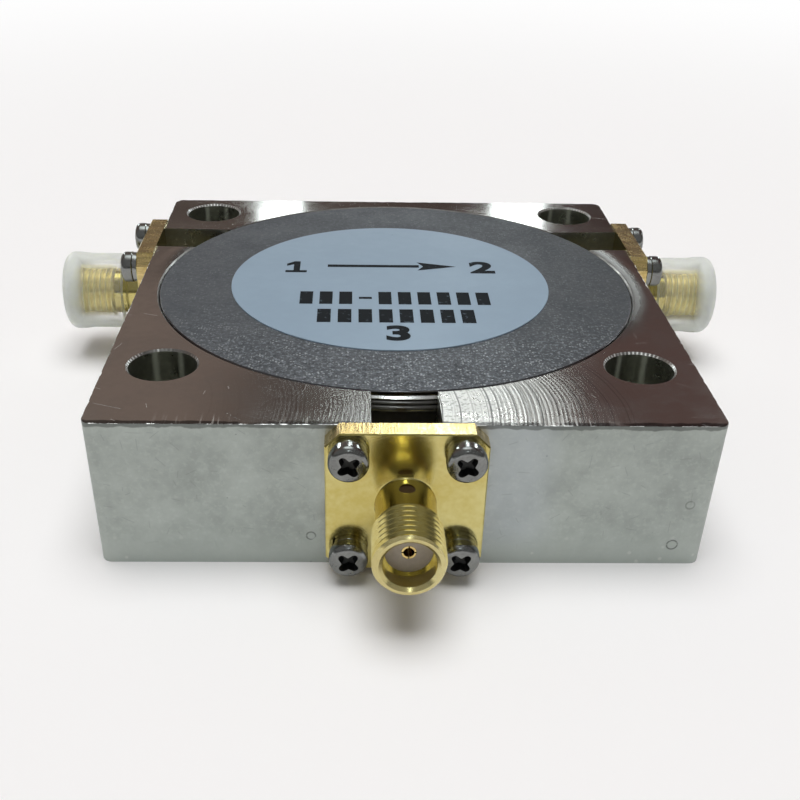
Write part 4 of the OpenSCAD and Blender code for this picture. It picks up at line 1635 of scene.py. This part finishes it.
class CIRCULATOR_OT_jacks(bpy.types.Operator):
    """Make the three gold plated jacks with their coupling threads"""
    bl_idname = "circulator.jacks"
    bl_label = "Jacks"
    bl_options = {"REGISTER", "UNDO"}

    def execute(self, context):
        settings = context.scene.circulator.jack
        finishes = [gold_plate(settings), gold_milled(settings), gold_painted_bright_in_cap()]
        pattern = jack_mesh(settings)
        for number in PORT_DIRECTIONS:
            mesh = pattern.copy()
            if number in CAPPED_PORTS:
                for face in mesh.polygons:
                    if face.center.z > settings.flange_thickness + CAP_STANDOFF:
                        face.material_index = IN_CAP
            mesh.transform(port_frame(number))
            add_piece(f"jack_{number}", mesh, finishes, [f"port_{number}_jack"])
        bpy.data.meshes.remove(pattern)
        return {"FINISHED"}


class CIRCULATOR_OT_port_cores(bpy.types.Operator):
    """Finish the insulators, contacts and epoxy plugs that stay as modelled"""
    bl_idname = "circulator.port_cores"
    bl_label = "Insulators and contacts"
    bl_options = {"REGISTER", "UNDO"}

    def execute(self, context):
        # Painted shade: the insulator is given a darker brown-grey than its own milky white, for the shade
        # in the counterbore.
        insulator = plain_finish("insulator", (0.45, 0.39, 0.32), (0.38, 0.33, 0.27), 0.5, 0.0)
        contact = plain_finish("contact_gold", (0.80, 0.62, 0.26), (0.62, 0.44, 0.15), 0.25, 1.0)
        epoxy = plain_finish("epoxy", (0.035, 0.018, 0.008), (0.02, 0.01, 0.005), 0.35, 0.0,
                             gloss=0.12, depth=0.02)
        for number in PORT_DIRECTIONS:
            dress_node(f"port_{number}_insulator", insulator)
            dress_node(f"port_{number}_contact", contact)
            dress_node(f"port_{number}_epoxy_lock", epoxy)
        return {"FINISHED"}


# Screws and washers

def cross_loop(bm, reach, width, height):
    """A cross with rounded arm ends, as one loop."""
    half = width / 2
    straight = reach / 2 - half
    points = []
    for arm in range(4):
        turned = Matrix.Rotation(arm * math.pi / 2, 2)
        points.append(turned @ Vector((half * 1.25, -half * 1.25)))
        for x, y in arc(straight, 0, half, -75, 75, 5):
            points.append(turned @ Vector((x, y)))
    return [bm.verts.new((p.x, p.y, height)) for p in points]


def recess_cutter(settings):
    """The tapered cross that is struck into the head."""
    bm = bmesh.new()
    top = settings.head_height + 0.2 * MM
    floor = settings.head_height - settings.recess_depth
    upper = cross_loop(bm, settings.recess_reach, settings.recess_width, top)
    lower = cross_loop(bm, settings.recess_reach * 0.62, settings.recess_width * 0.55, floor)
    wall(bm, lower, upper)
    bm.faces.new(lower)
    bm.faces.new(upper)
    outward(bm)
    return to_mesh(bm, "recess_cutter")


def screw_mesh(settings):
    """A pan head screw with its underside at nought and its cross recess cut."""
    wide, high, soft = settings.head_radius, settings.head_height, settings.head_round
    under = 0.08 * MM
    profile = [(0, -settings.shank_length), (settings.shank_radius * 0.8, -settings.shank_length),
               (settings.shank_radius, -settings.shank_length + 0.2 * MM), (settings.shank_radius, 0),
               (wide - under, 0), (wide, under)]
    shoulder = high - settings.crown
    profile += arc(wide - soft, shoulder - soft, soft, 0, 82, 9)
    profile += [((wide - soft) * 0.5, high - settings.crown * 0.2), (0, high)]
    bm = bmesh.new()
    lathe(bm, profile, 48)
    outward(bm)
    carved = carve(to_mesh(bm, "screw"), recess_cutter(settings))
    marks = carved.attributes.new("recess", "BOOLEAN", "FACE")
    for face, item in zip(carved.polygons, marks.data):
        x, y, z = face.center
        inside = z > high - settings.recess_depth - 0.01 * MM and math.hypot(x, y) < wide * 0.68
        item.value = inside and (face.normal.z < 0.8 or z < high - 0.4 * MM)
    keep_local(carved)
    return carved


# A washer's sections, the rise from end to end, the lean of its split and its rounding
WASHER_STEPS, WASHER_LIFT = 44, 0.05 * MM
WASHER_LEAN, WASHER_ROUND = math.radians(20), 0.06 * MM


def washer_mesh(settings):
    """A split lock washer with its ends a little apart and off level."""
    bm = bmesh.new()
    inner, out, high = settings.washer_inner, settings.washer_outer, settings.washer_height
    gap = settings.washer_split / ((inner + out) / 2)
    edge = WASHER_ROUND
    profile = [(inner, 0), (out - edge, 0), (out, edge),
               (out, high - edge), (out - edge, high), (inner, high)]
    sections = []
    for k in range(WASHER_STEPS + 1):
        share = k / WASHER_STEPS
        section = []
        for radius, height in profile:
            leaning = math.tan(WASHER_LEAN) * (height - high / 2) / radius
            turn = gap / 2 + share * (math.tau - gap) + leaning
            rise = WASHER_LIFT * (share - 0.5)
            section.append(bm.verts.new((radius * math.cos(turn), radius * math.sin(turn), height + rise)))
        sections.append(section)
    for first, second in zip(sections, sections[1:]):
        wall(bm, first, second)
    bm.faces.new(sections[0])
    bm.faces.new(sections[-1])
    outward(bm)
    mesh = to_mesh(bm, "washer")
    keep_local(mesh)
    return mesh


# How far each screw and washer is turned, port by port and corner by corner
SCREW_TURNS = {1: (14, 62, 38, 80), 2: (52, 20, 71, 33), 3: (47, 43, 52, 38)}
WASHER_TURN_STEP = 83


def bolt_points(settings, turns):
    """Four points on the flange, each with its own turn."""
    mesh = bpy.data.meshes.new("bolt_points")
    mesh.from_pydata(bolt_places(settings), [], [])
    store = mesh.attributes.new("turn", "FLOAT", "POINT")
    for item, degrees in zip(store.data, turns):
        item.value = math.radians(degrees)
    return mesh


class CIRCULATOR_OT_screws(bpy.types.Operator):
    """Set a cross recess screw and a split lock washer at each flange corner"""
    bl_idname = "circulator.screws"
    bl_label = "Screws and washers"
    bl_options = {"REGISTER", "UNDO"}

    def execute(self, context):
        settings = context.scene.circulator.screw
        jack = context.scene.circulator.jack
        head = screw_steel(settings, "screw_steel", 1.0, 0.22)
        # Painted shade: the cross recess gets a much darker steel than the head.
        recess = screw_steel(settings, "recess_painted_shade_steel", 0.22, 0.5)
        washer = screw_steel(settings, "washer_steel", 1.25, 0.22)
        screw_pattern = scratch_object("screw_pattern", screw_mesh(settings))
        washer_pattern = scratch_object("washer_pattern", washer_mesh(settings))
        for number, turns in SCREW_TURNS.items():
            washer_turns = [turn * 3 + WASHER_TURN_STEP * k for k, turn in enumerate(turns)]
            place = port_frame(number)
            screws = grow(bolt_points(jack, turns), "Bolt Circle",
                          {"Piece": screw_pattern, "Lift": jack.flange_thickness + settings.washer_height,
                           "Material": head, "Recess Material": recess})
            washers = grow(bolt_points(jack, washer_turns), "Bolt Circle",
                           {"Piece": washer_pattern, "Lift": jack.flange_thickness,
                            "Material": washer, "Recess Material": recess})
            screws.transform(place)
            washers.transform(place)
            for name, mesh, node in (("flange_screws", screws, "screws"),
                                     ("split_washers", washers, "lock_washers")):
                add_piece(f"{name}_{number}", mesh, [], [f"port_{number}_{node}"])
        discard(screw_pattern, washer_pattern)
        return {"FINISHED"}


# Dust caps

def cap_mesh(settings, jack):
    """A cap in the jack's frame: a plain body, a wider rounded end and a blind bore."""
    low, high = corners("port_1_dust_cap")
    jack_high = corners("port_1_jack")[1]
    rim_radius = (high.z - low.z) / 2
    seat = -jack_high.x
    mouth = -high.x - seat
    end = -low.x - seat
    bore = jack.crest_radius + settings.wall_gap
    soft = settings.end_round
    step = end - settings.rim_length
    blend = 0.9 * MM
    edge = 0.25 * MM
    profile = [(0, end)]
    profile += [((rim_radius - soft) * 0.55, end)]
    profile += arc(rim_radius - soft, end - soft, soft, 90, 0, 8)
    for k in range(9):
        share = (1 + math.cos(math.pi * k / 8)) / 2
        wider = (rim_radius - settings.body_radius) * share
        profile.append((settings.body_radius + wider, step + blend * (4 - k) / 4))
    profile += [(settings.body_radius, (step + mouth) / 2)]
    profile += arc(settings.body_radius - edge, mouth + edge, edge, 0, -90, 4)
    profile += [(bore + edge, mouth), (bore, mouth + edge), (bore, (step + mouth) / 2)]
    profile += [(bore, end - settings.end_wall - edge), (bore - edge, end - settings.end_wall)]
    profile += [(0, end - settings.end_wall)]
    bm = bmesh.new()
    lathe(bm, profile, 96)
    for face in bm.faces:
        middle = face.calc_center_median()
        if middle.xy.length < bore + 0.01 * MM and middle.z < end - settings.end_wall + 0.01 * MM:
            face.material_index = 1
    outward(bm)
    return to_mesh(bm, "cap")


class CIRCULATOR_OT_caps(bpy.types.Operator):
    """Make the cloudy dust caps on the two side jacks"""
    bl_idname = "circulator.caps"
    bl_label = "Dust caps"
    bl_options = {"REGISTER", "UNDO"}

    def execute(self, context):
        settings = context.scene.circulator.cap
        finishes = [cap_plastic(settings), cap_lining(settings)]
        for number in CAPPED_PORTS:
            mesh = cap_mesh(settings, context.scene.circulator.jack)
            mesh.transform(port_frame(number))
            add_piece(f"dust_cap_{number}", mesh, finishes, [f"port_{number}_dust_cap"])
        return {"FINISHED"}


# Sealed junction

class CIRCULATOR_OT_junction(bpy.types.Operator):
    """Finish the magnets, ferrites, plates, rings, conductor and capacitors inside"""
    bl_idname = "circulator.junction"
    bl_label = "Sealed junction"
    bl_options = {"REGISTER", "UNDO"}

    def execute(self, context):
        steel = plain_finish("ground_steel", (0.45, 0.45, 0.45), (0.34, 0.34, 0.34), 0.32, 1.0)
        magnet = plain_finish("magnet", (0.06, 0.06, 0.065), (0.035, 0.035, 0.04), 0.6, 0.0)
        ferrite = plain_finish("ferrite", (0.05, 0.045, 0.05), (0.03, 0.028, 0.03), 0.35, 0.0)
        moulded = plain_finish("moulded_ring", (0.80, 0.80, 0.76), (0.70, 0.70, 0.66), 0.45, 0.0)
        copper = plain_finish("copper_strip", (0.80, 0.48, 0.34), (0.62, 0.34, 0.22), 0.25, 1.0)
        buff = plain_finish("capacitor", (0.60, 0.48, 0.32), (0.48, 0.38, 0.25), 0.4, 0.0)
        finishes = {steel: ("compensation_shim", "lower_pole_plate", "upper_pole_plate"),
                    magnet: ("lower_magnet", "upper_magnet"), ferrite: ("lower_ferrite", "upper_ferrite"),
                    moulded: ("lower_spacer_ring", "upper_spacer_ring"), copper: ("centre_conductor",),
                    buff: ("capacitor_1", "capacitor_2", "capacitor_3")}
        for material, nodes in finishes.items():
            for node in nodes:
                dress_node(node, material)
        return {"FINISHED"}


class CIRCULATOR_PT_sidebar(bpy.types.Panel):
    """Lists the steps that dress the circulator"""
    bl_idname = "CIRCULATOR_PT_sidebar"
    bl_label = "Circulator"
    bl_space_type = "VIEW_3D"
    bl_region_type = "UI"
    bl_category = "Circulator"

    def draw(self, context):
        for step in STEPS:
            self.layout.operator(step.bl_idname)


STEPS = (CIRCULATOR_OT_studio, CIRCULATOR_OT_block, CIRCULATOR_OT_cover, CIRCULATOR_OT_label,
         CIRCULATOR_OT_jacks, CIRCULATOR_OT_port_cores, CIRCULATOR_OT_screws, CIRCULATOR_OT_caps,
         CIRCULATOR_OT_junction)
CLASSES = (BlockSettings, CoverSettings, LabelSettings, JackSettings, ScrewSettings, CapSettings,
           StudioSettings, CirculatorSettings, *STEPS, CIRCULATOR_PT_sidebar)


def register():
    for item in CLASSES:
        bpy.utils.register_class(item)
    bpy.types.Scene.circulator = bpy.props.PointerProperty(type=CirculatorSettings)


def unregister():
    del bpy.types.Scene.circulator
    for item in reversed(CLASSES):
        bpy.utils.unregister_class(item)


def main():
    register()
    make_shared_groups()
    for step in STEPS:
        category, name = step.bl_idname.split(".")
        getattr(getattr(bpy.ops, category), name)()


if __name__ == "__main__":
    main()
